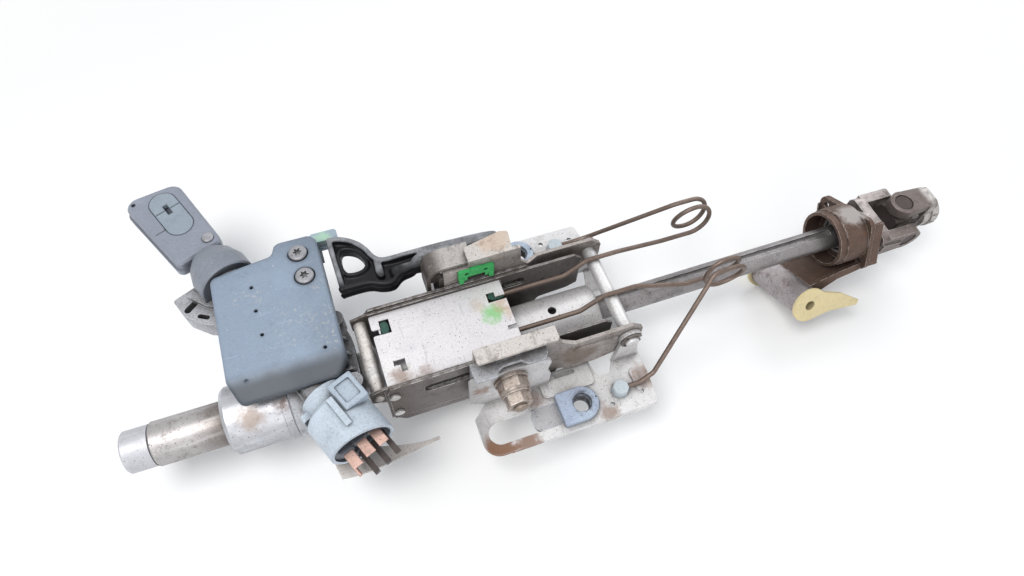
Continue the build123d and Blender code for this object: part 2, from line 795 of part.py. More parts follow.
# Bright collar: revolved profile with its front rim and a weld bead at the rear
with BuildPart() as collar_sleeve:
    with BuildSketch(Plane.XZ):
        with BuildLine():
            Polyline(
                (collar_front, axis_z + upper_tube_r + 0.02),
                (collar_front, axis_z + collar_r - 2),
                (collar_front + 2.5, axis_z + collar_r),
                (collar_rear - 5, axis_z + collar_r),
                (collar_rear - 5, axis_z + collar_r + 0.8),
                (collar_rear, axis_z + collar_r + 0.8),
                (collar_rear, axis_z + upper_tube_r + 4.6),
                (-194.2, axis_z + upper_tube_r + 4.6),
                (-194.2, axis_z + upper_tube_r + 0.02),
                close=True,
            )
        make_face()
    revolve(axis=Axis((0, 0, axis_z), (1, 0, 0)))
collar_sleeve.part.label = "collar_sleeve"
export_step(collar_sleeve.part, "parts/collar_sleeve.step")

# Steering shaft: wheel taper and splines, long tube that takes the lower shaft
shaft_tube_r = 12.6
spline_x = wheel_end_x + 2
spline_r = 8.5
spline_length = 17.0
seat_r = 9.5
with BuildPart() as upper_shaft:
    with BuildSketch(Plane.XZ):
        with BuildLine():
            Polyline(
                (spline_x, axis_z), (spline_x, axis_z + spline_r),
                (spline_x + spline_length, axis_z + spline_r), (spline_x + spline_length + 4, axis_z + seat_r),
                (-268.1, axis_z + seat_r), (-268.1, axis_z + 10.6), (-215, axis_z + 10.6),
                (-205, axis_z + shaft_tube_r), (-20, axis_z + shaft_tube_r), (-20, axis_z),
                close=True,
            )
        make_face()
    revolve(axis=Axis((0, 0, axis_z), (1, 0, 0)))
    with BuildSketch(station(-160)):
        Circle(shaft_r + 0.05)
        with Locations((0, flute_floor + 3.05), (0, -flute_floor - 3.05)):
            Rectangle(flute_w - 0.2, 6, mode=Mode.SUBTRACT)
    extrude(amount=145, mode=Mode.SUBTRACT)
    with BuildSketch(station(spline_x - 1)):
        with PolarLocations(spline_r + 0.1, 18):
            Rectangle(1.3, 1.2)
    extrude(amount=9, mode=Mode.SUBTRACT)
    with BuildSketch(station(spline_x - 1)):
        Circle(5.1)
    extrude(amount=22, mode=Mode.SUBTRACT)
upper_shaft.part.label = "upper_shaft"
export_step(upper_shaft.part, "parts/upper_shaft.step")

# Pale sleeve on the wheel end of the shaft
with BuildPart() as wheel_sleeve:
    with BuildSketch(Plane.XZ):
        with BuildLine():
            Polyline(
                (wheel_end_x, axis_z + 11), (wheel_end_x, axis_z + 13.6), (wheel_end_x + 1, axis_z + 14.6),
                (upper_tube_front - 0.3, axis_z + 14.6), (upper_tube_front - 0.3, axis_z + 12.7),
                (upper_tube_front + 4, axis_z + 12.7), (upper_tube_front + 4, axis_z + seat_r + 0.02),
                (upper_tube_front, axis_z + seat_r + 0.02), (upper_tube_front, axis_z + 11),
                close=True,
            )
        make_face()
    revolve(axis=Axis((0, 0, axis_z), (1, 0, 0)))
wheel_sleeve.part.label = "wheel_sleeve"
export_step(wheel_sleeve.part, "parts/wheel_sleeve.step")

# Slotted ring that the lock bolt drops into
lock_ring_slots = 6
with BuildPart() as lock_ring:
    with BuildSketch(station(bolt_x - 8)):
        Circle(16.2)
        Circle(shaft_tube_r + 0.02, mode=Mode.SUBTRACT)
        with PolarLocations(16.2, lock_ring_slots, start_angle=90):
            Rectangle(5.6, 9.6, mode=Mode.SUBTRACT)
    extrude(amount=16)
lock_ring.part.label = "lock_ring"
export_step(lock_ring.part, "parts/lock_ring.step")

# Steering lock bolt under the rotor, stored drawn back clear of the ring
bolt_side = 7.0
lock_bolt_z = axis_z + 16.9
with BuildPart() as lock_bolt:
    with BuildSketch(Plane.XY.offset(lock_bolt_z)):
        with Locations((bolt_x, 0)):
            Rectangle(bolt_side, bolt_side, rotation=lock_angle)
    extrude(amount=9.8)
    chamfer(lock_bolt.faces().sort_by(Axis.Z)[0].edges(), 0.8)
lock_bolt.part.label = "lock_bolt"
export_step(lock_bolt.part, "parts/lock_bolt.step")

# Lock housing: casting round the tube, barrel, platform for the cover, side lug, bosses
barrel_r = 13.5
barrel_bore = 9.06
rotor_r = 6.0
cylinder_s0 = 40.0
barrel_s0 = 14.0
barrel_s1 = 128.0
with BuildPart() as lock_housing:
    with BuildSketch(station(collar_rear + 0.05)):
        Circle(jacket_r + 6)
    extrude(amount=46)
    chamfer(lock_housing.edges().filter_by(GeomType.CIRCLE), 1.5)
    # necked barrel
    with BuildSketch(lock_plane(barrel_s0)):
        Circle(8.4)
    extrude(amount=30)
    with BuildSketch(lock_plane(36)):
        Circle(barrel_r)
    extrude(amount=barrel_s1 - 36)
    # saddle between the barrel and the ring
    with BuildSketch(lock_plan(22)):
        with Locations((36, 0)):
            RectangleRounded(42, 22, 4)
    extrude(amount=lock_z - 22)
    # platform with the two cover bosses and its ribs
    with BuildSketch(Plane.XY.offset(29)):
        with BuildLine():
            Polyline(
                (-214, 64), (-214, 88), (-176, 97), (-149, 97), (-149, 56), (-153, 14), (-186, 14), (-200, 40),
                close=True,
            )
        make_face()
        fillet(vertices().filter_by_position(Axis.Y, 55, 98), 4)
        with Locations((-172, 78)):
            RectangleRounded(12, 16, 3, mode=Mode.SUBTRACT)
        with Locations((-168, 48)):
            RectangleRounded(16, 18, 3, mode=Mode.SUBTRACT)
    extrude(amount=5)
    for x, y in screw_places:
        with BuildSketch(Plane.XY.offset(29)):
            with Locations((x, y)):
                Circle(6)
        extrude(amount=26.6)
    for p, q in (((-200, 60), (-154, 60)), ((-158, 30), (-154, 60)), ((-206, 88), (-166, 86))):
        with BuildSketch(Plane.XY.offset(33)):
            with Locations(((p[0] + q[0]) / 2, (p[1] + q[1]) / 2)):
                heading = degrees(atan2(q[1] - p[1], q[0] - p[0]))
                Rectangle(hypot(q[0] - p[0], q[1] - p[1]), 3, rotation=heading)
        extrude(amount=7)
    # light lug on the key side, with two slots
    with BuildSketch(Plane.XY.offset(17)):
        with BuildLine():
            Polyline(
                (-255, 92), (-249, 77), (-236, 66), (-226, 62), (-208, 66), (-204, 88), (-222, 103), (-232, 102),
                close=True,
            )
        make_face()
        fillet(vertices(), 2.5)
        with Locations((-240, 86)):
            SlotOverall(20, 5, rotation=40, mode=Mode.SUBTRACT)
        with Locations((-236, 72.5)):
            SlotOverall(9, 3.4, rotation=-30, mode=Mode.SUBTRACT)
    extrude(amount=17)
    with BuildSketch(Plane.XY.offset(31)):
        with BuildLine():
            Polyline((-244, 90), (-232, 78), (-214, 70), (-214, 76), (-230, 84), (-240, 94), close=True)
        make_face()
    extrude(amount=7)
    # rear web with the screw boss beside the front rod
    with BuildSketch(Plane.XY.offset(24)):
        with BuildLine():
            Polyline((-152, -22), (-142, -18), (-141.5, 22), (-146, 40), (-153, 44), close=True)
        make_face()
    extrude(amount=12)
    with BuildSketch(Plane.XY.offset(24)):
        with Locations((-147, -12), (-149, 38)):
            Circle(6)
    extrude(amount=17)
    with BuildSketch(Plane.XY.offset(30)):
        with Locations((-147, -12), (-149, 38)):
            Circle(2.2)
    extrude(amount=12, mode=Mode.SUBTRACT)
    for y in (-2, 10, 22):
        with BuildSketch(Plane.XZ.offset(-y)):
            with BuildLine():
                Polyline((-160, 34), (-142, 34), (-146, 42), (-160, 42), close=True)
            make_face()
        extrude(amount=2)
    # bores: tube, lock cylinder, rotor, lock bolt, screws
    with BuildSketch(station(collar_rear - 5)):
        Circle(jacket_r + 0.02)
    extrude(amount=60, mode=Mode.SUBTRACT)
    with BuildSketch(lock_plane(cylinder_s0)):
        Circle(barrel_bore)
    extrude(amount=100, mode=Mode.SUBTRACT)
    with BuildSketch(lock_plane(0)):
        Circle(rotor_r + 0.06)
    extrude(amount=cylinder_s0 + 1, mode=Mode.SUBTRACT)
    # reliefs for the collar, the bezel and the switch
    with BuildSketch(station(collar_front - 5)):
        Circle(collar_r + 1.1)
    extrude(amount=collar_rear - collar_front + 5.05, mode=Mode.SUBTRACT)
    with BuildSketch(lock_plane(barrel_s1)):
        Circle(20.8)
    extrude(amount=40, mode=Mode.SUBTRACT)
    with BuildSketch(lock_plane(-40)):
        Circle(21.3)
    extrude(amount=42.1, mode=Mode.SUBTRACT)
    with BuildSketch(lock_plane(1.9)):
        Circle(15.1)
    extrude(amount=12.05, mode=Mode.SUBTRACT)
    with BuildSketch(lock_plane(1.9)):
        Circle(20.3)
    extrude(amount=7.3, mode=Mode.SUBTRACT)
    with BuildSketch(Plane.XY.offset(20)):
        with Locations((bolt_x, 0)):
            Rectangle(bolt_side + 0.1, bolt_side + 0.1, rotation=lock_angle)
    extrude(amount=20, mode=Mode.SUBTRACT)
    for x, y in screw_places:
        with BuildSketch(Plane.XY.offset(38)):
            with Locations((x, y)):
                Circle(2.6)
        extrude(amount=30, mode=Mode.SUBTRACT)
lock_housing.part.label = "lock_housing"
export_step(lock_housing.part, "parts/lock_housing.step")

# Cover over the lock: sloped near edge, notched far corner, screw recesses, blind marks
cover_top = 60.2
cover_wall = 2.4


def cover_outline(inset):
    with BuildSketch() as outline:
        with BuildLine():
            Polyline(
                (-222, 3), (-222, 83), (-179, 90), (-176, 102), (-151, 102), (-147, 95), (-147, -2),
                (-154, -12), (-217, -12),
                close=True,
            )
        make_face()
        fillet(outline.vertices(), 5.5)
        if inset:
            offset(amount=-inset, mode=Mode.REPLACE)
    return outline.sketch


def cover_slope(drop):
    with BuildSketch() as slope:
        with BuildLine():
            Polyline(
                (-14, 30), (-14, 53.5 - drop), (-11, 53.9 - drop), (4, cover_top - drop),
                (86, cover_top - drop), (103, cover_top - 5 - drop), (103, 30),
                close=True,
            )
        make_face()
        fillet(slope.vertices().filter_by_position(Axis.X, 3, 87), 6)
    return slope.sketch


with BuildPart() as cover_core:
    with BuildSketch(Plane.XY.offset(40)):
        add(cover_outline(cover_wall))
    extrude(amount=24)
    with BuildSketch(Plane.YZ.offset(-230)):
        add(cover_slope(cover_wall))
    extrude(amount=100, mode=Mode.INTERSECT)
with BuildPart() as cover:
    with BuildSketch(Plane.XY.offset(42)):
        add(cover_outline(0))
    extrude(amount=24)
    with BuildSketch(Plane.YZ.offset(-230)):
        add(cover_slope(0))
    extrude(amount=100, mode=Mode.INTERSECT)
    add(cover_core.part, mode=Mode.SUBTRACT)
    # the near skirt is cut back to the sloped lip over the barrel
    with BuildSketch(Plane.XY.offset(38)):
        with Locations((-184, -9)):
            Rectangle(90, 14)
    extrude(amount=12.8, mode=Mode.SUBTRACT)
    # round notch where the barrel leaves
    with BuildSketch(lock_plane(60)):
        Circle(barrel_r + 0.3)
    extrude(amount=90, mode=Mode.SUBTRACT)
    with Locations(*[(x, y, cover_top) for x, y in screw_places]):
        CounterBoreHole(3.1, 7.4, 1.6, depth=6)
    for x, y in ((-196, 68), (-196, 49), (-195, 30), (-158, 8), (-210, 1)):
        with BuildSketch(Plane.XY.offset(cover_top - 1.8)):
            with Locations((x, y)):
                Circle(1.3)
        extrude(amount=4, mode=Mode.SUBTRACT)
cover.part.label = "cover"
export_step(cover.part, "parts/cover.step")

# Star-drive screws of the cover
with BuildPart() as cover_screws:
    for x, y in screw_places:
        with BuildSketch(Plane.XY.offset(cover_top - 1.6)):
            with Locations((x, y)):
                Circle(6.3)
        extrude(amount=3.4)
        with BuildSketch(Plane.XY.offset(cover_top - 22)):
            with Locations((x, y)):
                Circle(2.55)
        extrude(amount=21)
    chamfer(cover_screws.faces().filter_by(Axis.Z).sort_by(Axis.Z)[-2:].edges(), 0.9)
    for x, y in screw_places:
        with BuildSketch(Plane.XY.offset(cover_top - 0.6)):
            with Locations((x, y)):
                Circle(2.1)
                with PolarLocations(2.3, 6):
                    Rectangle(1.5, 1.3)
        extrude(amount=3, mode=Mode.SUBTRACT)
cover_screws.part.label = "cover_screws"
export_step(cover_screws.part, "parts/cover_screws.step")

# Small tab beyond the far corner of the cover
with BuildPart() as latch_tab:
    with BuildSketch(Plane.YZ.offset(-152)):
        with BuildLine():
            Polyline(
                (90, 34.05), (104.4, 34.05), (104.4, 41), (111, 41), (111, 44), (102.6, 44), (102.6, 37), (90, 37),
                close=True,
            )
        make_face()
    extrude(amount=20)
    with BuildSketch(Plane.XY.offset(30)):
        with Locations((-139, 95)):
            Rectangle(14, 12)
    extrude(amount=20, mode=Mode.SUBTRACT)
    fillet(latch_tab.edges().filter_by(Axis.Z).sort_by(Axis.Y)[-2:], 2.5)
latch_tab.part.label = "latch_tab"
export_step(latch_tab.part, "parts/latch_tab.step")

# Rounded collar that the key goes into
with BuildPart() as lock_bezel:
    with BuildSketch(lock_plan(lock_z)):
        with BuildLine():
            Polyline(
                (128.05, barrel_bore), (128.05, 19.4), (129.5, 20.4), (141, 20.4), (150, 17.4), (156.5, 12.8),
                (156.5, 6.2), (150.3, 6.2), (150.3, barrel_bore),
                close=True,
            )
        make_face()
    revolve(axis=Axis((lock_x, lock_y, lock_z), (lock_ux, lock_uy, 0)))
    with BuildSketch(lock_plan(lock_z - 1.7)):
        with Locations((154, 0)):
            Rectangle(10, 2 * 8.6)
    extrude(amount=3.4, mode=Mode.SUBTRACT)
lock_bezel.part.label = "lock_bezel"
export_step(lock_bezel.part, "parts/lock_bezel.step")

# Lock cylinder with its key slot, and the rotor it drives through to the switch
with BuildPart() as lock_cylinder:
    with BuildSketch(lock_plane(cylinder_s0 + 0.3)):
        Circle(9.0)
    extrude(amount=150 - cylinder_s0 - 0.3)
    chamfer(lock_cylinder.edges().filter_by(GeomType.CIRCLE), 0.5)
    with BuildSketch(lock_plane(118)):
        Rectangle(9.4, 2.7)
    extrude(amount=40, mode=Mode.SUBTRACT)
    for s in (70, 78, 86, 94):
        with BuildSketch(lock_plane(s)):
            with Locations((0, 7.6)):
                Rectangle(2.4, 4)
        extrude(amount=1.4, mode=Mode.SUBTRACT)
lock_cylinder.part.label = "lock_cylinder"
export_step(lock_cylinder.part, "parts/lock_cylinder.step")

with BuildPart() as switch_rotor:
    with BuildSketch(lock_plane(-2)):
        Circle(rotor_r)
    extrude(amount=cylinder_s0 + 2.25)
    with BuildSketch(lock_plane(-20)):
        Circle(12.5)
        with PolarLocations(12.5, 3, start_angle=30):
            Rectangle(5, 6, mode=Mode.SUBTRACT)
    extrude(amount=18)
switch_rotor.part.label = "switch_rotor"
export_step(switch_rotor.part, "parts/switch_rotor.step")


# Folding key: outline of the case seen from above, along the lock axis
def case_outline(shift):
    with BuildSketch() as outline:
        with BuildLine():
            Polyline(
                (157.5, -12.5 + shift), (159, 20.5 + shift), (236, 24.5 + shift),
                (227, -16.5 + shift), (163, -15 + shift),
                close=True,
            )
        make_face()
        fillet(outline.vertices().sort_by(Axis.X)[-2:], 9)
        fillet(outline.vertices().sort_by(Axis.X)[:3], 5)
    return outline.sketch


blade_s0 = 120.0
with BuildPart() as key_blade:
    with BuildSketch(lock_plane(blade_s0)):
        Rectangle(9.0, 2.3)
    extrude(amount=42)
    with BuildSketch(lock_plan(lock_z + 0.2)):
        with Locations((128, 0), (138, 0)):
            Rectangle(7, 1.6)
    extrude(amount=2, mode=Mode.SUBTRACT)
    with BuildSketch(lock_plan(lock_z - 3.5)):
        with Locations((166.5, -8)):
            Circle(7)
        with Locations((162, -3)):
            Rectangle(7, 11)
    extrude(amount=7)
key_blade.part.label = "key_blade"
export_step(key_blade.part, "parts/key_blade.step")

with BuildPart() as key_case_back:
    with BuildSketch(lock_plan(lock_z - 7)):
        add(case_outline(1.6))
    extrude(amount=7)
    chamfer(key_case_back.faces().sort_by(Axis.Z)[0].edges(), 2)
    with BuildSketch(lock_plan(lock_z - 3.6)):
        with Locations((166.5, -8)):
            Circle(7.1)
        with Locations((161, -2)):
            Rectangle(9.4, 13.4)
        with Locations((198, 0)):
            RectangleRounded(44, 22, 2)
    extrude(amount=5, mode=Mode.SUBTRACT)
key_case_back.part.label = "key_case_back"
export_step(key_case_back.part, "parts/key_case_back.step")

# Upper case: pockets for the two buttons and the release button, split line, ring hole
button_s = 203.0
with BuildPart() as key_case_top:
    with BuildSketch(lock_plan(lock_z)):
        add(case_outline(0))
    extrude(amount=8)
    chamfer(key_case_top.faces().sort_by(Axis.Z)[-1].edges(), 1.8)
    with BuildSketch(lock_plan(lock_z - 1)):
        with Locations((166.5, -8)):
            Circle(7.1)
        with Locations((161, -2)):
            Rectangle(9.4, 13.4)
    extrude(amount=4.6, mode=Mode.SUBTRACT)
    with BuildSketch(lock_plan(lock_z + 3)):
        with Locations((button_s, 1)):
            SlotOverall(45, 20.4)
        with Locations((166.5, -8)):
            Circle(4.3)
    extrude(amount=6, mode=Mode.SUBTRACT)
    with BuildSketch(lock_plan(lock_z - 1)):
        with Locations((228, 18)):
            Circle(1.6)
    extrude(amount=12, mode=Mode.SUBTRACT)
    with BuildSketch(lock_plan(lock_z + 7.4)):
        with Locations((192.5, 14)):
            Rectangle(0.8, 9)
    extrude(amount=2, mode=Mode.SUBTRACT)
key_case_top.part.label = "key_case_top"
export_step(key_case_top.part, "parts/key_case_top.step")


def half_button(direction):
    with BuildPart() as button:
        with BuildSketch(lock_plan(lock_z + 4.3)):
            with Locations((button_s, 1)):
                SlotOverall(44.2, 19.6)
            with Locations((button_s + 5 - direction * 29.75, 1)):
                Rectangle(60, 24, mode=Mode.SUBTRACT)
            with Locations((button_s + 5 + direction * 2, 1)):
                Rectangle(6, 3.6, mode=Mode.SUBTRACT)
        extrude(amount=4.3)
        chamfer(button.faces().sort_by(Axis.Z)[-1].edges(), 0.5)
    return button


lock_button = half_button(1)
lock_button.part.label = "lock_button"
export_step(lock_button.part, "parts/lock_button.step")
unlock_button = half_button(-1)
unlock_button.part.label = "unlock_button"
export_step(unlock_button.part, "parts/unlock_button.step")

with BuildPart() as flip_button:
    with BuildSketch(lock_plan(lock_z + 5)):
        with Locations((166.5, -8)):
            Circle(4.2)
    extrude(amount=4.4)
    chamfer(flip_button.faces().sort_by(Axis.Z)[-1].edges(), 0.7)
flip_button.part.label = "flip_button"
export_step(flip_button.part, "parts/flip_button.step")

# Ignition switch: drum with a slanted open end, flat on top, neck towards the lock
drum_r = 21.0
with BuildPart() as switch_housing:
    with BuildSketch(lock_plane(-38)):
        Circle(drum_r)
    extrude(amount=40)
    with BuildSketch(lock_plane(2)):
        Circle(15)
    extrude(amount=11.95)
    chamfer(switch_housing.edges().filter_by(GeomType.CIRCLE).group_by(SortBy.RADIUS)[-1].sort_by(Axis.Y)[-1], 2.5)
    with BuildSketch(lock_plan(lock_z - 30)):
        with BuildLine():
            Polyline((-44, -30), (-36, -30), (-24, 30), (-44, 30), close=True)
        make_face()
    extrude(amount=60, mode=Mode.SUBTRACT)
    with BuildSketch(lock_plane(-50)):
        Circle(drum_r - 2.4)
    extrude(amount=28, mode=Mode.SUBTRACT)
    with BuildSketch(lock_plane(-24)):
        Circle(12.9)
    extrude(amount=24, mode=Mode.SUBTRACT)
    with BuildSketch(lock_plane(-24)):
        Circle(rotor_r + 0.1)
    extrude(amount=50, mode=Mode.SUBTRACT)
    # side ears with screws' bosses and the latch rib
    for t in (-1, 1):
        with BuildSketch(lock_plane(4)):
            with Locations((t * 15, 0)):
                RectangleRounded(9, 12, 2)
        extrude(amount=5)
    with BuildSketch(lock_plane(-22)):
        with Locations((0, drum_r + 0.4)):
            Rectangle(4, 3)
    extrude(amount=22)
switch_housing.part.label = "switch_housing"
export_step(switch_housing.part, "parts/switch_housing.step")

# Raised cap on the drum
with BuildPart() as switch_cap:
    with BuildSketch(lock_plan(lock_z + 15)):
        with Locations((-3, -12)):
            RectangleRounded(21, 17, 1.5)
    extrude(amount=7.5)
    chamfer(switch_cap.faces().sort_by(Axis.Z)[-1].edges(), 0.8)
    with BuildSketch(lock_plan(lock_z + 21.3)):
        with Locations((-3, -12)):
            RectangleRounded(14, 11, 1)
    extrude(amount=2, mode=Mode.SUBTRACT)
    with BuildSketch(lock_plane(-30)):
        Circle(drum_r)
    extrude(amount=50, mode=Mode.SUBTRACT)
switch_cap.part.label = "switch_cap"
export_step(switch_cap.part, "parts/switch_cap.step")

# Contacts in the open end of the switch
blade_places = ((-10, 7), (0, 6), (10, 3))
prong_places = ((-6, -8), (3, -9), (-14, -3))
with BuildPart() as contact_carrier:
    with BuildSketch(lock_plane(-25)):
        Circle(drum_r - 2.5)
    extrude(amount=3)
    with BuildSketch(lock_plane(-29)):
        with Locations(*blade_places):
            Rectangle(9, 5)
        with Locations(*prong_places):
            Rectangle(6, 5)
    extrude(amount=4.2)
    with BuildSketch(lock_plane(-36)):
        with Locations(*blade_places):
            Rectangle(7.2, 1.9)
        with Locations(*prong_places):
            Rectangle(4, 1.9)
        with Locations((12, -9)):
            Circle(1.35)
    extrude(amount=20, mode=Mode.SUBTRACT)
contact_carrier.part.label = "contact_carrier"
export_step(contact_carrier.part, "parts/contact_carrier.step")

with BuildPart() as contact_blades:
    for t, z in blade_places:
        with BuildSketch(lock_plane(-40)):
            with Locations((t, z)):
                RectangleRounded(7, 1.7, 0.6)
        extrude(amount=17.9)
    with BuildSketch(lock_plane(-42)):
        with Locations((12, -9)):
            Circle(1.3)
    extrude(amount=19.9)
contact_blades.part.label = "contact_blades"
export_step(contact_blades.part, "parts/contact_blades.step")

with BuildPart() as contact_prongs:
    for t, z in prong_places:
        with BuildSketch(lock_plane(-48)):
            with Locations((t, z)):
                RectangleRounded(3.8, 1.7, 0.5)
        extrude(amount=25.9)
contact_prongs.part.label = "contact_prongs"
export_step(contact_prongs.part, "parts/contact_prongs.step")

# Thin guard under the switch, tapering rearwards
with BuildPart() as guard_plate:
    with BuildSketch(Plane.XY.offset(9)):
        with BuildLine():
            Spline((-176, -46), (-150, -49), (-128, -55), (-103, -57))
            Line((-103, -57), (-103, -59))
            Spline((-103, -59), (-126, -62), (-150, -65), (-172, -64))
            Line((-172, -64), (-176, -46))
        make_face()
    extrude(amount=1.6)
    with BuildSketch(Plane.XY.offset(9)):
        with BuildLine():
            Polyline((-174, -50), (-160, -52), (-160, -54), (-174, -52), close=True)
        make_face()
    extrude(amount=14)
    with BuildSketch(lock_plane(-38)):
        Circle(drum_r + 0.02)
    extrude(amount=45, mode=Mode.SUBTRACT)
guard_plate.part.label = "guard_plate"
export_step(guard_plate.part, "parts/guard_plate.step")

# Upper bearing: outer ring with its two shields, inner ring on the shaft
ring_in = 10.4
bearing_x = -279.6
bearing_w = 9.0
with BuildPart() as upper_bearing_outer:
    with BuildSketch(station(bearing_x)):
        Circle(tube_bore - 0.02)
        Circle(tube_bore - 1.2, mode=Mode.SUBTRACT)
    extrude(amount=bearing_w)
    for shield_x in (bearing_x + 0.6, bearing_x + bearing_w - 1.4):
        with BuildSketch(station(shield_x)):
            Circle(tube_bore - 1)
            Circle(ring_in + 0.1, mode=Mode.SUBTRACT)
        extrude(amount=0.8)
upper_bearing_outer.part.label = "upper_bearing_outer"
export_step(upper_bearing_outer.part, "parts/upper_bearing_outer.step")

with BuildPart() as upper_bearing_inner:
    with BuildSketch(station(bearing_x)):
        Circle(ring_in)
        Circle(9.51, mode=Mode.SUBTRACT)
    extrude(amount=bearing_w)
upper_bearing_inner.part.label = "upper_bearing_inner"
export_step(upper_bearing_inner.part, "parts/upper_bearing_inner.step")

# Plastic bush between the shaft tube and the jacket
with BuildPart() as rear_bush:
    with BuildSketch(station(-42)):
        Circle(jacket_r - jacket_wall - 0.02)
        Circle(shaft_tube_r + 0.06, mode=Mode.SUBTRACT)
        with PolarLocations(15.6, 4):
            Rectangle(2, 5, mode=Mode.SUBTRACT)
    extrude(amount=14)
rear_bush.part.label = "rear_bush"
export_step(rear_bush.part, "parts/rear_bush.step")

# Lower shaft: two long flutes, bearing collar, plain end in the yoke
seat_x = 259.0
flute_end = seat_x - 13
cup_x1 = seat_x + 9
yoke_x = cup_x1 + 9
with BuildPart() as lower_shaft:
    with BuildSketch(Plane.XZ):
        with BuildLine():
            Polyline(
                (-118, axis_z), (-118, axis_z + shaft_r - 1), (-117, axis_z + shaft_r),
                (seat_x - 3, axis_z + shaft_r), (seat_x - 3, axis_z + 10.9), (seat_x + 10, axis_z + 10.9),
                (seat_x + 10, axis_z + shaft_r), (yoke_x + 12, axis_z + shaft_r),
                (yoke_x + 13, axis_z + shaft_r - 1), (yoke_x + 13, axis_z),
                close=True,
            )
        make_face()
    revolve(axis=Axis((0, 0, axis_z), (1, 0, 0)))
    with BuildSketch(station(-120)):
        for side in (-1, 1):
            with Locations((0, side * (flute_floor + 3))):
                Rectangle(flute_w, 6)
    extrude(amount=flute_end + 120, mode=Mode.SUBTRACT)
lower_shaft.part.label = "lower_shaft"
export_step(lower_shaft.part, "parts/lower_shaft.step")

# Lower bearing housing: pressed cup, flange plate, gussets down to the pivot tube
cup_r = 24.0
cup_x0 = seat_x - 16
flange_t = 3.5
pivot_tube_x = 212.0
pivot_tube_r = 12.5
pivot_drop = 37.0
pivot_half = 29.0
with BuildPart() as bearing_housing:
    with BuildSketch(lower_station(cup_x0)):
        Circle(cup_r - 1)
        Circle(cup_r - 3.5, mode=Mode.SUBTRACT)
    extrude(amount=6)
    with BuildSketch(lower_station(cup_x0 + 6)):
        Circle(cup_r)
        Circle(cup_r - 3.5, mode=Mode.SUBTRACT)
    extrude(amount=cup_x1 - cup_x0 - 6)
    with BuildSketch(lower_station(seat_x - 1.5)):
        Circle(cup_r - 2)
        Circle(15.5, mode=Mode.SUBTRACT)
    extrude(amount=cup_x1 - seat_x + 1.5)
    with BuildSketch(lower_station(cup_x1)):
        with Locations((5, -3)):
            RectangleRounded(60, 47, 8)
        Circle(14.2, mode=Mode.SUBTRACT)
        with Locations((27, 13), (-17, 13), (27, -19), (-17, -19)):
            Circle(2.7, mode=Mode.SUBTRACT)
    extrude(amount=flange_t)
    # rolled edge along three sides of the flange
    with BuildSketch(lower_station(cup_x1 - 2)):
        with Locations((5, 20)):
            Rectangle(44, 1.6)
        with Locations((34.6, -3)):
            Rectangle(1.6, 30)
    extrude(amount=2.5)
    # side cheek behind the flange
    with BuildSketch(lower_station(cup_x1 + flange_t)):
        with Locations((-21.5, -3)):
            Rectangle(2.6, 36)
        with Locations((-12, -22)):
            Rectangle(22, 2.6)
    extrude(amount=10)
    # gussets and floor between the cup and the pivot tube
    for w in (-20, 17):
        with BuildSketch(Plane(
            origin=lower_station(0).from_local_coords(Vector(w, 0, 0)),
            x_dir=(1, 0, 0),
            z_dir=-lower_station(0).x_dir,
        )):
            with BuildLine():
                Polyline(
                    (pivot_tube_x - 6, -29), (pivot_tube_x + 8, -27), (cup_x1 - 20, -22), (cup_x1, -20),
                    (cup_x1, -26), (cup_x1 - 22, -29), (pivot_tube_x + 16, -36),
                    (pivot_tube_x + 10, -44), (pivot_tube_x - 6, -44),
                    close=True,
                )
            make_face()
        extrude(amount=-3)
    with BuildSketch(Plane(
        origin=lower_station(0).from_local_coords(Vector(-20, 0, 0)),
        x_dir=(1, 0, 0),
        z_dir=-lower_station(0).x_dir,
    )):
        with BuildLine():
            Polyline(
                (pivot_tube_x + 4, -27.5), (cup_x1 - 22, -23.5), (cup_x1, -22),
                (cup_x1, -25), (cup_x1 - 22, -26.5), (pivot_tube_x + 4, -30.5),
                close=True,
            )
        make_face()
    extrude(amount=-40)
    # seat for the tube between the gussets, and the shaft's way through
    pivot_axis = lower_station(0)
    tube_plane = Plane(
        origin=pivot_axis.from_local_coords(Vector(-pivot_half, -pivot_drop, pivot_tube_x)),
        x_dir=(1, 0, 0),
        z_dir=pivot_axis.x_dir,
    )
    with BuildSketch(tube_plane):
        Circle(pivot_tube_r + 0.02)
    extrude(amount=2 * pivot_half, mode=Mode.SUBTRACT)
bearing_housing.part.label = "bearing_housing"
export_step(bearing_housing.part, "parts/bearing_housing.step")

# Outer ring of the lower bearing with its rollers
roller_r = 1.5
roller_track = 12.5
with BuildPart() as lower_bearing:
    with BuildSketch(station(seat_x - 1.4)):
        Circle(15.48)
        Circle(roller_track + roller_r - 0.02, mode=Mode.SUBTRACT)
    extrude(amount=10)
    with BuildSketch(station(seat_x)):
        with PolarLocations(roller_track, 10):
            Circle(roller_r)
    extrude(amount=7)
lower_bearing.part.label = "lower_bearing"
export_step(lower_bearing.part, "parts/lower_bearing.step")

# Pivot tube and its two flanged plastic bushes, the near one with a tail
with BuildPart() as pivot_tube:
    with BuildSketch(tube_plane):
        Circle(pivot_tube_r)
        Circle(pivot_tube_r - 2.5, mode=Mode.SUBTRACT)
    extrude(amount=2 * pivot_half)
pivot_tube.part.label = "pivot_tube"
export_step(pivot_tube.part, "parts/pivot_tube.step")

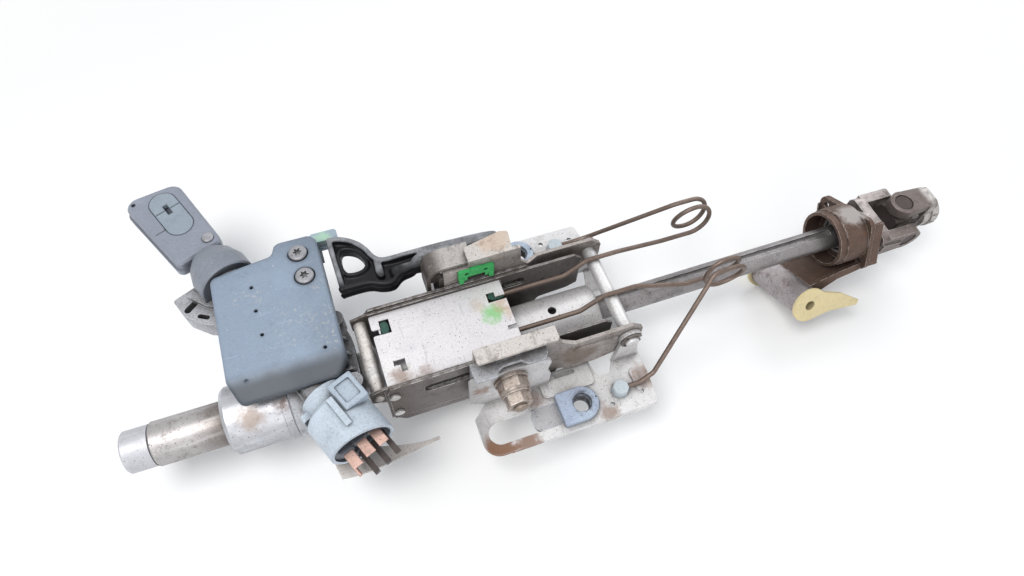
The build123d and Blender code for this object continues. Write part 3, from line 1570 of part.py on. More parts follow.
bush_bore = 4.2
with BuildPart() as pivot_bushes:
    for end in (-1, 1):
        flange_start = 0.05 if end > 0 else -2.55
        flange_at = tube_plane.offset(2 * pivot_half + flange_start if end > 0 else flange_start)
        with BuildSketch(flange_at):
            Circle(15)
            if end < 0:
                with BuildLine():
                    Polyline((0, 15), (20, 12), (47, 15), (49, 11), (30, -2), (12, -9), (0, 0), close=True)
                make_face()
            Circle(bush_bore, mode=Mode.SUBTRACT)
        extrude(amount=2.5)
        sleeve_at = tube_plane.offset(2 * pivot_half - 24 if end > 0 else -0.06)
        with BuildSketch(sleeve_at):
            Circle(pivot_tube_r - 2.52)
            Circle(bush_bore, mode=Mode.SUBTRACT)
        extrude(amount=24.1)
pivot_bushes.part.label = "pivot_bushes"
export_step(pivot_bushes.part, "parts/pivot_bushes.step")

# Universal joint: fork on the lower shaft, cross, and the outer fork with its splined hub
joint_x = yoke_x + 35
fork_in = 15.0
fork_out = 23.5
trunnion_r = 7.4
cheek_r = 11.0
with BuildPart() as lower_yoke:
    with BuildSketch(station(yoke_x)):
        Circle(13.5)
    extrude(amount=8)
    with BuildSketch(station(yoke_x + 6)):
        RectangleRounded(2 * fork_out, 23, 5)
    extrude(amount=9)
    for side in (-1, 1):
        with BuildSketch(across(side * fork_in + (0 if side < 0 else fork_out - fork_in))):
            with Locations((joint_x, axis_z)):
                Circle(cheek_r)
            with BuildLine():
                Polyline(
                    (yoke_x + 12, axis_z - 11.5), (joint_x - 3, axis_z - cheek_r + 0.4),
                    (joint_x - 3, axis_z + cheek_r - 0.4), (yoke_x + 12, axis_z + 11.5),
                    close=True,
                )
            make_face()
        extrude(amount=fork_out - fork_in)
        with BuildSketch(across(side * fork_out + (0 if side < 0 else 1.5))):
            with BuildLine():
                Polyline(
                    (yoke_x + 8, axis_z - 5), (joint_x - 9, axis_z - 3), (joint_x - 9, axis_z + 3),
                    (yoke_x + 8, axis_z + 5),
                    close=True,
                )
            make_face()
        extrude(amount=1.5)
    with BuildSketch(across(30)):
        with Locations((joint_x, axis_z)):
            Circle(trunnion_r + 0.06)
    extrude(amount=60, mode=Mode.SUBTRACT)
    with BuildSketch(station(yoke_x - 1)):
        Circle(shaft_r + 0.02)
    extrude(amount=30, mode=Mode.SUBTRACT)
lower_yoke.part.label = "lower_yoke"
export_step(lower_yoke.part, "parts/lower_yoke.step")

with BuildPart() as joint_cross:
    with BuildSketch(station(joint_x - 8)):
        RectangleRounded(22, 22, 4)
    extrude(amount=16)
    with BuildSketch(across(fork_out - 0.8)):
        with Locations((joint_x, axis_z)):
            Circle(trunnion_r)
    extrude(amount=2 * (fork_out - 0.8))
    with BuildSketch(Plane.XY.offset(axis_z - fork_out + 2)):
        with Locations((joint_x, 0)):
            Circle(trunnion_r)
    extrude(amount=2 * (fork_out - 2))
    ends = joint_cross.faces().filter_by(GeomType.PLANE).filter_by(lambda f: abs(f.area - pi * trunnion_r**2) < 1)
    chamfer(ends.edges(), 0.8)
joint_cross.part.label = "joint_cross"
export_step(joint_cross.part, "parts/joint_cross.step")

outer_in = 14.0
outer_out = 22.0
with BuildPart() as outer_yoke:
    for side in (-1, 1):
        with BuildSketch(Plane.XY.offset(axis_z + (outer_in if side > 0 else -outer_out))):
            with Locations((joint_x, 0)):
                Circle(cheek_r)
            with BuildLine():
                Polyline((joint_x + 2, -10.6), (joint_x + 24, -9), (joint_x + 24, 9), (joint_x + 2, 10.6), close=True)
            make_face()
        extrude(amount=outer_out - outer_in)
    with BuildSketch(station(joint_x + 20)):
        RectangleRounded(20, 2 * outer_out, 5)
    extrude(amount=8)
    with BuildSketch(station(joint_x + 22)):
        Circle(13)
    extrude(amount=16)
    with BuildSketch(station(joint_x + 29)):
        Circle(14.2)
        with PolarLocations(14.2, 12):
            Rectangle(1.2, 1.6, mode=Mode.SUBTRACT)
    extrude(amount=6)
    chamfer(outer_yoke.faces().sort_by(Axis.X)[-1].edges(), 1)
    with BuildSketch(Plane.XY.offset(axis_z - 30)):
        with Locations((joint_x, 0)):
            Circle(trunnion_r + 0.06)
    extrude(amount=60, mode=Mode.SUBTRACT)
    with BuildSketch(station(joint_x + 15)):
        Circle(8.5)
        with PolarLocations(8.5, 12):
            Rectangle(1.2, 1.0)
    extrude(amount=30, mode=Mode.SUBTRACT)
outer_yoke.part.label = "outer_yoke"
export_step(outer_yoke.part, "parts/outer_yoke.step")

# Tilt springs: inner leg on the clamp bolt and pivot rod, coil, outer leg down to the cap
coil_x = 127.0
coil_z = 48.0
coil_r = 14.0
coil_halves = 3
coil_pitch = 7.6
leg_z = clamp_z + clamp_r + wire_r + 0.05


def spring(side, leg_y, rod_y, coil_y):
    """Leg under the plate and over the rod, half turns of the coil, then the tail out to the cap."""
    low = coil_z - coil_r
    high = coil_z + coil_r
    advance = side * coil_pitch / 2
    end_y = coil_y + coil_halves * advance
    cap_side = side * cap_y
    with BuildPart() as wire:
        with BuildLine() as route:
            FilletPolyline(
                (-53, leg_y, leg_z), (16, leg_y, leg_z), (pivot_x - 6, rod_y, leg_z),
                (pivot_x + 18, rod_y, leg_z), (coil_x - 24, coil_y, low), (coil_x, coil_y, low),
                radius=12,
            )
            for half in range(coil_halves):
                start = (coil_x, coil_y + half * advance, low if half % 2 == 0 else high)
                finish = (coil_x, coil_y + (half + 1) * advance, high if half % 2 == 0 else low)
                bulge = hypot(coil_r, advance / 2) * (1 if half % 2 == 0 else -1)
                ThreePointArc(start, (coil_x + bulge, coil_y + (half + 0.5) * advance, coil_z), finish)
            FilletPolyline(
                (coil_x, end_y, high), (coil_x - coil_r, end_y, high),
                (58, end_y + 0.94 * (cap_side - end_y), 11), (cap_x + 16, cap_side, spring_end_z),
                (cap_x + 3, cap_side, spring_end_z),
                radius=8,
            )
        path = route.wires()[0]
        with BuildSketch(Plane(origin=path @ 0, z_dir=path % 0)):
            Circle(wire_r)
        sweep(path=path)
    return wire


spring_near = spring(-1, -13, -7, -13)
spring_near.part.label = "spring_near"
export_step(spring_near.part, "parts/spring_near.step")
spring_far = spring(1, 18, 25, 28)
spring_far.part.label = "spring_far"
export_step(spring_far.part, "parts/spring_far.step")
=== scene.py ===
import json
import math

import bmesh
import bpy
from mathutils import Matrix, Vector


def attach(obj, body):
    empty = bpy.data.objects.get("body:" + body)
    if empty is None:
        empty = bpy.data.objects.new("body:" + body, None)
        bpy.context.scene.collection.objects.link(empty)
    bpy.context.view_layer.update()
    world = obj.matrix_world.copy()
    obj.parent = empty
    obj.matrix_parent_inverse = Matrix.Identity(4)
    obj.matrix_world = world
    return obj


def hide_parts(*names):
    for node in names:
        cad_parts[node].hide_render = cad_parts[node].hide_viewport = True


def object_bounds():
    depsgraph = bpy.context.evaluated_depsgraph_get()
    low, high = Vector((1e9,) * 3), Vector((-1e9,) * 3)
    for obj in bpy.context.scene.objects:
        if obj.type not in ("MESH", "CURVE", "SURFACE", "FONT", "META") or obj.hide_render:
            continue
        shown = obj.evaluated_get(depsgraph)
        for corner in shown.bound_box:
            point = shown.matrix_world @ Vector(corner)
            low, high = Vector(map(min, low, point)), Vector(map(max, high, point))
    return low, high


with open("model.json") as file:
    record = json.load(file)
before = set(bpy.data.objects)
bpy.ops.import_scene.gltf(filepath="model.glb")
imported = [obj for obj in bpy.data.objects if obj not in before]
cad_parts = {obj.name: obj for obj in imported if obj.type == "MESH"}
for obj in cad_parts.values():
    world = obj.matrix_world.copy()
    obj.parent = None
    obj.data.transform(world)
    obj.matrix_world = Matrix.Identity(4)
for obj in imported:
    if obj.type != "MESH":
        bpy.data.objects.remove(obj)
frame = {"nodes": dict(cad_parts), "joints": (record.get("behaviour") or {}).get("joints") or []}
with_start = [list(v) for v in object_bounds()]
nodes = frame["nodes"]
scene = bpy.context.scene

# Camera of the photograph, fitted to its straight edges
focal_px = 680.0
photo_width_px = 1024.0
sensor_mm = 36.0
camera_at = Vector((-0.12079, -0.20729, 0.4671))
right = Vector((0.9405, -0.3379, 0.0348))
down = Vector((-0.2757, -0.8192, -0.5028))
ahead = Vector((0.1984, 0.4634, -0.8637))
cam_data = bpy.data.cameras.new("camera")
cam_data.sensor_width = sensor_mm
cam_data.lens = focal_px / photo_width_px * sensor_mm
cam_data.clip_start = 0.01
cam_data.clip_end = 20.0
camera = bpy.data.objects.new("camera", cam_data)
scene.collection.objects.link(camera)
turn = Matrix((right, -down, -ahead)).transposed()
camera.matrix_world = Matrix.Translation(camera_at) @ turn.to_4x4()
scene.camera = camera

# Axes of object coordinates, as places in a vector
X = 0
Y = 1
Z = 2


class Look:
    """Builds one procedural material, layer over layer, on object coordinates."""

    def __init__(self, name, color, rough, metal, shine=0.5):
        self.m = bpy.data.materials.new(name)
        self.m.use_nodes = True
        self.t = self.m.node_tree
        self.t.nodes.clear()
        out = self.t.nodes.new("ShaderNodeOutputMaterial")
        self.b = self.t.nodes.new("ShaderNodeBsdfPrincipled")
        self.t.links.new(self.b.outputs[0], out.inputs[0])
        self.xyz = self.t.nodes.new("ShaderNodeTexCoord").outputs["Object"]
        self.color = tuple(color)
        self.rough = rough
        self.metal = metal
        self.height = None
        self.b.inputs["Specular IOR Level"].default_value = shine

    def put(self, socket, v):
        """Set a socket to a number or a colour, or link it to another socket."""
        if isinstance(v, tuple):
            socket.default_value = (v[0], v[1], v[2], 1)
        elif isinstance(v, (int, float)):
            socket.default_value = v
        else:
            self.t.links.new(v, socket)

    def math(self, op, a, b, clamp=False):
        n = self.t.nodes.new("ShaderNodeMath")
        n.operation = op
        n.use_clamp = clamp
        self.put(n.inputs[0], a)
        self.put(n.inputs[1], b)
        return n.outputs[0]

    def times(self, a, b):
        return self.math("MULTIPLY", a, b)

    def inverse(self, a):
        return self.math("SUBTRACT", 1.0, a)

    def wobble(self, scale, size):
        """Noise about zero that makes a straight border ragged."""
        return self.times(self.math("SUBTRACT", self.noise(scale), 0.5), size)

    def place(self, stretch=(1, 1, 1), turn=(0, 0, 0), shift=(0, 0, 0)):
        """Object coordinates, stretched, turned and shifted."""
        n = self.t.nodes.new("ShaderNodeMapping")
        n.inputs["Scale"].default_value = stretch
        n.inputs["Rotation"].default_value = turn
        n.inputs["Location"].default_value = shift
        self.t.links.new(self.xyz, n.inputs["Vector"])
        return n.outputs[0]

    def noise(self, scale, detail=5.0, rough=0.6, **where):
        n = self.t.nodes.new("ShaderNodeTexNoise")
        n.inputs["Scale"].default_value = scale
        n.inputs["Detail"].default_value = detail
        n.inputs["Roughness"].default_value = rough
        self.t.links.new(self.place(**where), n.inputs["Vector"])
        return n.outputs["Fac"]

    def cells(self, scale, shift):
        n = self.t.nodes.new("ShaderNodeTexVoronoi")
        n.inputs["Scale"].default_value = scale
        self.t.links.new(self.place(shift=shift), n.inputs["Vector"])
        return n.outputs["Distance"]

    def step(self, fac, low, high, top=1.0):
        """Smooth step: 0 where fac is low, top where it is high."""
        n = self.t.nodes.new("ShaderNodeMapRange")
        n.interpolation_type = "SMOOTHSTEP"
        self.put(n.inputs["Value"], fac)
        n.inputs["From Min"].default_value = low
        n.inputs["From Max"].default_value = high
        n.inputs["To Min"].default_value = 0.0
        n.inputs["To Max"].default_value = top
        return n.outputs["Result"]

    def cloud(self, scale, detail, rough, low, high, top=1.0, **where):
        """Patches of noise: 0 below low, top above high."""
        return self.step(self.noise(scale, detail, rough, **where), low, high, top)

    def flecks(self, distance, low, high, top=1.0):
        """Small round marks: 1 at the middle of each cell, 0 away from it."""
        return self.inverse(self.step(distance, low, high, top))

    def near(self, point, radius, soft=0.004):
        """1 inside a ragged ball round a point, 0 outside it."""
        n = self.t.nodes.new("ShaderNodeVectorMath")
        n.operation = "DISTANCE"
        self.t.links.new(self.xyz, n.inputs[0])
        n.inputs[1].default_value = point
        d = self.math("ADD", n.outputs["Value"], self.wobble(180.0, 0.016))
        return self.inverse(self.step(d, radius - soft, radius + soft))

    def along(self, axis, start, stop):
        """0 at the place start on an axis, 1 at stop."""
        n = self.t.nodes.new("ShaderNodeSeparateXYZ")
        self.t.links.new(self.xyz, n.inputs[0])
        return self.step(self.math("ADD", n.outputs[axis], self.wobble(60, 0.004)), start, stop)

    def corners(self, reach):
        """1 where the surface is shut in by what stands round it, 0 in the open."""
        n = self.t.nodes.new("ShaderNodeAmbientOcclusion")
        n.samples = 6
        n.inputs["Distance"].default_value = reach
        return self.inverse(self.step(n.outputs["AO"], low=0.45, high=0.9))

    def rims(self, radius):
        """1 along the edges of sheets and castings, 0 on their faces."""
        soft = self.t.nodes.new("ShaderNodeBevel")
        soft.samples = 4
        soft.inputs["Radius"].default_value = radius
        face = self.t.nodes.new("ShaderNodeNewGeometry")
        n = self.t.nodes.new("ShaderNodeVectorMath")
        n.operation = "DOT_PRODUCT"
        self.t.links.new(soft.outputs["Normal"], n.inputs[0])
        self.t.links.new(face.outputs["Normal"], n.inputs[1])
        return self.step(self.inverse(n.outputs["Value"]), low=0.03, high=0.25)

    def mixed(self, fac, a, b):
        """Colour a where fac is 0 and b where it is 1; a mix node keeps its colours at 6 and 7."""
        n = self.t.nodes.new("ShaderNodeMix")
        n.data_type = "RGBA"
        self.put(n.inputs[0], fac)
        self.put(n.inputs[6], a)
        self.put(n.inputs[7], b)
        return n.outputs[2]

    def blended(self, fac, a, b):
        """Number a where fac is 0 and b where it is 1; a mix node keeps its numbers at 2 and 3."""
        n = self.t.nodes.new("ShaderNodeMix")
        n.data_type = "FLOAT"
        self.put(n.inputs[0], fac)
        self.put(n.inputs[2], a)
        self.put(n.inputs[3], b)
        return n.outputs[0]

    def layer(self, fac, color=None, rough=None, metal=None, lift=None):
        """Where fac is 1, lay a colour, roughness, metal share or height over what is there."""
        if color is not None:
            self.color = self.mixed(fac, self.color, color)
        if rough is not None:
            self.rough = self.blended(fac, self.rough, rough)
        if metal is not None:
            self.metal = self.blended(fac, self.metal, metal)
        if lift is not None:
            self.raise_by(self.times(fac, lift))

    def raise_by(self, h):
        self.height = h if self.height is None else self.math("ADD", self.height, h)

    def done(self, edge):
        """The finished material, with its edges softened by a radius."""
        self.put(self.b.inputs["Base Color"], self.color)
        self.put(self.b.inputs["Roughness"], self.rough)
        self.put(self.b.inputs["Metallic"], self.metal)
        soft = None
        if edge:
            soft = self.t.nodes.new("ShaderNodeBevel")
            soft.samples = 4
            soft.inputs["Radius"].default_value = edge
            self.t.links.new(soft.outputs[0], self.b.inputs["Normal"])
        if self.height is not None:
            n = self.t.nodes.new("ShaderNodeBump")
            n.inputs["Strength"].default_value = 0.4
            n.inputs["Distance"].default_value = 0.0006
            self.t.links.new(self.height, n.inputs["Height"])
            if soft:
                self.t.links.new(soft.outputs[0], n.inputs["Normal"])
            self.t.links.new(n.outputs[0], self.b.inputs["Normal"])
        return self.m


# Colours that come back in several materials
rust_brown = (0.20, 0.085, 0.035)
rust_film = (0.17, 0.075, 0.035)
pit_brown = (0.10, 0.06, 0.04)
speck_cool = (0.70, 0.72, 0.74)
speck_warm = (0.78, 0.77, 0.72)
dust_warm = (0.56, 0.53, 0.48)


def scaled(color, factor, offset=0.0):
    """Lighter or darker kind of a colour."""
    return tuple(min(1.0, c * factor + offset) for c in color)


def steel(name, color, rough, metal, grime, rust, seed, spots=(), bands=(), tint=None, fine=True,
          edge=0.0005, shade_and_dirt=0.8, shade_and_dirt_color=(0.045, 0.036, 0.03), reach=0.012, wear=0.35,
          wear_color=None, grain=0.16):
    """Worn metal: cloudy tone, grain, scratches, dark grime, painted shade with grime in corners,
    bright rubbed edges, brown rust.

    A spot is a point, a radius, a colour and an amount. A band is an axis, the places where it
    starts and is full, a colour and an amount.
    """
    k = Look(name, color, rough, metal)
    s = (seed, seed * 1.7, -seed)
    dark = tint or scaled(color, 0.42)
    light = scaled(color, 1.4)
    k.layer(k.cloud(28, 6, 0.6, 0.46, 0.72, shift=s), color=light)
    for axis, start, stop, tone, amount in bands:
        k.layer(k.times(k.along(axis, start, stop), amount), color=tone)
    clouds = k.cloud(55, 8, 0.7, 0.50, 0.70, grime, shift=(s[1], s[0], 3))
    k.layer(clouds, color=dark, rough=0.62, metal=0.35)
    blots = k.cloud(150, 6, 0.7, 0.53, 0.66, grime * 0.6, shift=(s[0], 7, s[1]))
    k.layer(blots, color=dark, rough=0.6)
    k.layer(k.cloud(640, 3, 0.6, 0.50, 0.64, grain, shift=s), color=light, rough=0.34)
    dark_grain = k.cloud(760, 3, 0.6, 0.50, 0.62, grain * 1.4, shift=(s[1], 3, s[0]))
    k.layer(dark_grain, color=dark, rough=0.6)
    if fine:
        drawn = k.cloud(260, 3, 0.5, 0.55, 0.75, 0.4, stretch=(0.08, 1, 1), shift=s)
        k.layer(drawn, color=light, rough=0.3)
        scratches = k.cloud(420, 2, 0.5, 0.62, 0.72, 0.3,
                            stretch=(1, 0.1, 1), turn=(0, 0, 0.5), shift=s)
        k.layer(scratches, color=dark)
    film = k.cloud(130, 8, 0.75, 0.72 - 0.22 * rust, 0.8 - 0.16 * rust, rust,
                   shift=(5 + seed, 1, 2))
    k.layer(film, color=rust_film, rough=0.85, metal=0.1, lift=0.35)
    k.layer(k.flecks(k.cells(330, (2 + seed, 4, 1)), 0.06, 0.16, 0.7), color=pit_brown, rough=0.8)
    for point, radius, tone, amount in spots:
        k.layer(k.times(k.near(point, radius), amount), color=tone, rough=0.8, metal=0.1, lift=0.3)
    # Painted shade with grime: darker in patches where corners shut the surface in
    if shade_and_dirt:
        patchy = k.math("ADD", k.noise(90, 6, 0.7, shift=(1, seed, 2)), 0.35, clamp=True)
        shade_and_grime_in_corners = k.times(k.times(k.corners(reach), patchy), shade_and_dirt)
        k.layer(shade_and_grime_in_corners, color=shade_and_dirt_color, rough=0.75, metal=0.1)
    if wear:
        wear_and_highlight = k.times(k.rims(0.0011), k.cloud(210, 4, 0.6, 0.36, 0.6, wear, shift=(4, seed, 9)))
        k.layer(wear_and_highlight, color=wear_color or light, rough=0.28)
    k.raise_by(k.times(k.noise(900, 3, 0.6), 0.25))
    k.raise_by(k.times(k.noise(45, 4, 0.5), 0.5))
    return k.done(edge)


def plastic(name, color, rough, dust, speckle, seed, spots=(), edge=0.0007, shade_and_dirt=0.6, reach=0.010,
            shade=(), dusty=(), wear=0.4, mottle=0.14):
    """Moulded plastic: grain, dusty clouds, pale speckles, rubbed marks and edges, painted shade
    with dirt in corners.

    A spot is a point, a radius, a colour and an amount, and a dusty place one without a colour.
    A shade is an axis, the places where it starts and is full, and an amount.
    """
    k = Look(name, color, rough, 0.0)
    s = (seed, -seed, seed * 2)
    pale = scaled(color, 1.35, 0.02)
    deep = scaled(color, 0.55)
    k.layer(k.cloud(24, 6, 0.6, 0.45, 0.75, dust, shift=s), color=pale, rough=0.75)
    k.layer(k.cloud(70, 8, 0.72, 0.52, 0.78, 0.6, shift=(s[1], 2, s[0])), color=deep)
    k.layer(k.cloud(620, 3, 0.6, 0.50, 0.64, mottle, shift=s), color=pale, rough=0.7)
    k.layer(k.cloud(700, 3, 0.6, 0.50, 0.62, mottle * 1.3, shift=(s[1], 3, s[0])), color=deep)
    k.layer(k.times(k.flecks(k.cells(210, s), 0.04, 0.10), speckle), color=speck_cool, rough=0.8)
    ragged = k.math("ADD", k.cells(90, (seed + 3, 1, 5)), k.times(k.noise(700, 4, 0.7), 0.12))
    k.layer(k.times(k.flecks(ragged, 0.09, 0.13), speckle * 0.8), color=speck_warm, rough=0.8)
    scratches = k.cloud(330, 3, 0.5, 0.66, 0.74, 0.4,
                        stretch=(0.1, 1, 1), turn=(0, 0, 0.9), shift=s)
    k.layer(scratches, color=pale)
    for point, radius, amount in dusty:
        grains = k.cloud(360, 5, 0.7, 0.54, 0.63, shift=(seed, 7, 1))
        patch = k.times(k.near(point, radius, soft=0.008), amount)
        k.layer(k.times(grains, patch), color=dust_warm, rough=0.85)
    for axis, start, stop, amount in shade:
        k.layer(k.times(k.along(axis, start, stop), amount), color=scaled(color, 0.2))
    for point, radius, tone, amount in spots:
        k.layer(k.times(k.near(point, radius), amount), color=tone, rough=0.7)
    # Painted shade with dirt: corners darkened to a deep kind of the plastic's colour
    k.layer(k.times(k.corners(reach), shade_and_dirt), color=scaled(color, 0.16), rough=0.8)
    wear_and_highlight = k.times(k.rims(0.0012), k.cloud(180, 4, 0.6, 0.36, 0.6, wear, shift=(4, seed, 9)))
    k.layer(wear_and_highlight, color=pale, rough=0.45)
    k.raise_by(k.times(k.noise(1500, 2, 0.5), 0.35))
    return k.done(edge)


def black_coat():
    """Black lever paint, with a painted grey highlight along the top of its raised rims."""
    k = Look("lever_coat", (0.010, 0.010, 0.012), 0.42, 0.0, shine=0.22)
    # Painted highlight: grey along the top of the raised rims, in patches
    patchy = k.math("ADD", k.cloud(160, 6, 0.7, 0.35, 0.65, 0.45), 0.5)
    wear_and_highlight = k.times(k.times(k.along(Z, 0.0506, 0.0520), patchy), k.along(Y, 0.053, 0.064))
    k.layer(wear_and_highlight, color=(0.31, 0.32, 0.34), rough=0.5)
    k.layer(k.cloud(300, 4, 0.6, 0.62, 0.74, 0.5), color=(0.06, 0.06, 0.065))
    k.raise_by(k.times(k.noise(500, 3, 0.6), 0.3))
    return k.done(edge=0)


def dress(look, *names):
    """Give a material to pieces of the part."""
    for n in names:
        nodes[n].data.materials.clear()
        nodes[n].data.materials.append(look)


# Bracket, capsules, swing frame, clamp, lever, springs and castings
bracket_spots = [
    ((-0.066, -0.079, 0.002), 0.013, rust_brown, 0.9),
    ((-0.045, -0.081, 0.002), 0.009, rust_brown, 0.8),
    ((-0.068, -0.046, 0.03), 0.006, rust_brown, 0.7),
    ((0.053, -0.060, 0.003), 0.010, rust_brown, 0.55),
    ((-0.030, -0.052, 0.003), 0.006, rust_brown, 0.6),
    ((0.018, -0.078, 0.003), 0.007, rust_brown, 0.6),
]
frame_spots = [
    ((-0.062, -0.034, 0.062), 0.008, rust_brown, 0.6),
    ((0.006, -0.036, 0.03), 0.014, (0.17, 0.12, 0.09), 0.7),
    ((0.030, 0.037, 0.03), 0.016, (0.14, 0.11, 0.09), 0.7),
    ((-0.030, 0.045, 0.075), 0.012, (0.55, 0.40, 0.28), 0.5),
]
# Painted shade: the capsules' bores near black, at two heights in each bore
bore_shade_black = (0.03, 0.032, 0.035)
hole_places = [(0, y, z) for y in (-0.0665, 0.0665) for z in (0.001, 0.0045)]
capsule_bore_shade = [(place, 0.0074, bore_shade_black, 0.95) for place in hole_places]
dress(steel("bracket_steel", (0.95, 0.96, 0.98), 0.38, 0.2, grime=0.36, rust=0.45, seed=1.0,
            grain=0.12, tint=(0.27, 0.23, 0.21), spots=bracket_spots,
            bands=[(X, -0.054, -0.078, (0.20, 0.21, 0.23), 0.6)]),
      "mounting_bracket")
# Painted light: the band along Z makes the top of the swing frame's flanges lighter
dress(steel("frame_steel", (0.46, 0.435, 0.42), 0.42, 0.6, grime=0.9, rust=0.5, seed=2.0,
            tint=(0.13, 0.10, 0.085), spots=frame_spots,
            bands=[(Z, 0.066, 0.074, (0.80, 0.78, 0.76), 0.75)]),
      "swing_frame")
dress(steel("pivot_steel", (0.95, 0.96, 0.99), 0.30, 0.5, grime=0.3, rust=0.2, seed=3.0),
      "pivot_rod")
dress(steel("clip_steel", (0.20, 0.19, 0.18), 0.45, 0.8, grime=0.4, rust=0.3, seed=4.0),
      "rod_clips")
# Painted light and shade: the top of the clamp hood lighter, its side towards minus X darker
dress(steel("hood_steel", (0.30, 0.29, 0.29), 0.34, 0.75, grime=0.8, rust=0.35, seed=5.0, shade_and_dirt=0.95,
            bands=[(Z, 0.062, 0.071, (0.70, 0.68, 0.67), 0.7),
                   (X, -0.066, -0.076, (0.07, 0.065, 0.062), 0.85)],
            reach=0.02),
      "clamp_hood")
dress(steel("bolt_steel", (0.40, 0.34, 0.29), 0.36, 0.8, grime=0.6, rust=0.6, seed=6.0,
            reach=0.005),
      "clamp_bolt")
dress(steel("nut_steel", (0.62, 0.55, 0.50), 0.32, 0.8, grime=0.9, rust=0.75, seed=7.0,
            tint=(0.13, 0.07, 0.045), reach=0.006, wear=0.9, wear_color=(0.75, 0.70, 0.66)),
      "clamp_nuts", "clamp_washers")
dress(steel("cam_steel", (0.14, 0.13, 0.13), 0.5, 0.7, grime=0.5, rust=0.3, seed=8.0),
      "cam_fixed", "cam_moving")
dress(steel("cast_alloy", (0.56, 0.59, 0.64), 0.42, 0.45, grime=0.7, rust=0.12, seed=18.0,
            fine=False, shade_and_dirt=0.95, wear=0.8, reach=0.016, grain=0.3),
      "lock_housing", "clamp_block")
dress(steel("capsule_alloy", (0.50, 0.61, 0.80), 0.5, 0.15, grime=0.6, rust=0.12, seed=31.0,
            fine=False, wear=0.6, spots=capsule_bore_shade,
            bands=[(X, -0.0165, -0.0185, (0.62, 0.62, 0.64), 0.95)]),
      "capsule_near", "capsule_far")
dress(steel("spring_wire", (0.19, 0.15, 0.13), 0.30, 0.75, grime=0.6, rust=0.5, seed=23.0, edge=0,
            shade_and_dirt=0, wear=0),
      "spring_near", "spring_far")
lever_coat = black_coat()
dress(lever_coat, "adjusting_lever")

# Rails, plates, tubes, shafts and bearings of the column
plate_spots = [
    ((-0.0435, 0.003, 0.0472), 0.0065, (0.24, 0.56, 0.22), 0.85),
    ((-0.036, 0.009, 0.0472), 0.005, (0.50, 0.33, 0.20), 0.55),
    ((-0.033, 0.000, 0.0472), 0.004, (0.50, 0.33, 0.20), 0.45),
    ((-0.052, 0.012, 0.0472), 0.004, (0.50, 0.36, 0.24), 0.4),
    ((-0.116, -0.022, 0.047), 0.006, rust_brown, 0.6),
    ((-0.100, -0.026, 0.047), 0.005, rust_brown, 0.5),
]
collar_spots = [
    ((-0.218, -0.012, 0.031), 0.008, (0.38, 0.24, 0.14), 0.45),
    ((-0.197, -0.010, 0.034), 0.004, rust_brown, 0.7),
]
dress(steel("rail_steel", (0.20, 0.195, 0.195), 0.38, 0.85, grime=0.75, rust=0.35, seed=9.0,
            wear=0.9, wear_color=(0.75, 0.74, 0.73),
            bands=[(X, -0.10, -0.125, (0.075, 0.066, 0.06), 0.5)]),
      "inner_rail", "slide_lamellas")
dress(steel("pin_steel", (0.75, 0.75, 0.74), 0.28, 0.95, grime=0.2, rust=0.1, seed=10.0),
      "lamella_pins")
dress(steel("plate_steel", (0.92, 0.905, 0.945), 0.40, 0.35, grime=0.22, rust=0.3, seed=11.0,
            tint=(0.42, 0.45, 0.52), spots=plate_spots, shade_and_dirt=0.5, grain=0.18),
      "label_plate")
dress(steel("front_rod_steel", (0.98, 0.93, 0.88), 0.40, 0.3, grime=0.7, rust=0.7, seed=12.0),
      "front_rod")
dress(steel("jacket_steel", (0.97, 0.97, 0.99), 0.28, 0.4, grime=0.25, rust=0.25, seed=13.0),
      "jacket_tube")
# Painted shade: the column tube darker at its end by the collar and along its lower flank
dress(steel("tube_steel", (0.56, 0.555, 0.565), 0.27, 0.85, grime=0.55, rust=0.45, seed=14.0,
            tint=(0.12, 0.10, 0.09), grain=0.12,
            bands=[(X, -0.262, -0.240, (0.16, 0.14, 0.13), 0.7),
                   (Z, 0.008, 0.001, (0.12, 0.11, 0.11), 0.7)]),
      "column_tube")
# Painted shade: the collar darker along its lower flank; the band along X darkens its end towards
# plus X
dress(steel("collar_steel", (0.62, 0.65, 0.70), 0.24, 0.9, grime=0.3, rust=0.2, seed=15.0,
            grain=0.1, spots=collar_spots,
            bands=[(Z, 0.012, 0.002, (0.22, 0.23, 0.26), 0.6),
                   (X, -0.202, -0.194, (0.30, 0.32, 0.36), 0.5)]),
      "collar_sleeve")
# Painted shade: the wheel sleeve darker along its lower flank
dress(steel("sleeve_steel", (0.70, 0.72, 0.78), 0.34, 0.5, grime=0.2, rust=0.08, seed=16.0,
            grain=0.1, bands=[(Z, 0.006, 0.000, (0.30, 0.31, 0.35), 0.6)]),
      "wheel_sleeve")
dress(steel("shaft_steel", (0.34, 0.335, 0.35), 0.26, 0.9, grime=0.65, rust=0.3, seed=17.0,
            wear=0.8, reach=0.006),
      "upper_shaft", "lock_ring", "lower_shaft")
dress(steel("bearing_steel", (0.6, 0.6, 0.6), 0.25, 1.0, grime=0.2, rust=0.1, seed=24.0),
      "upper_bearing_outer", "upper_bearing_inner", "lower_bearing", "lock_bolt")

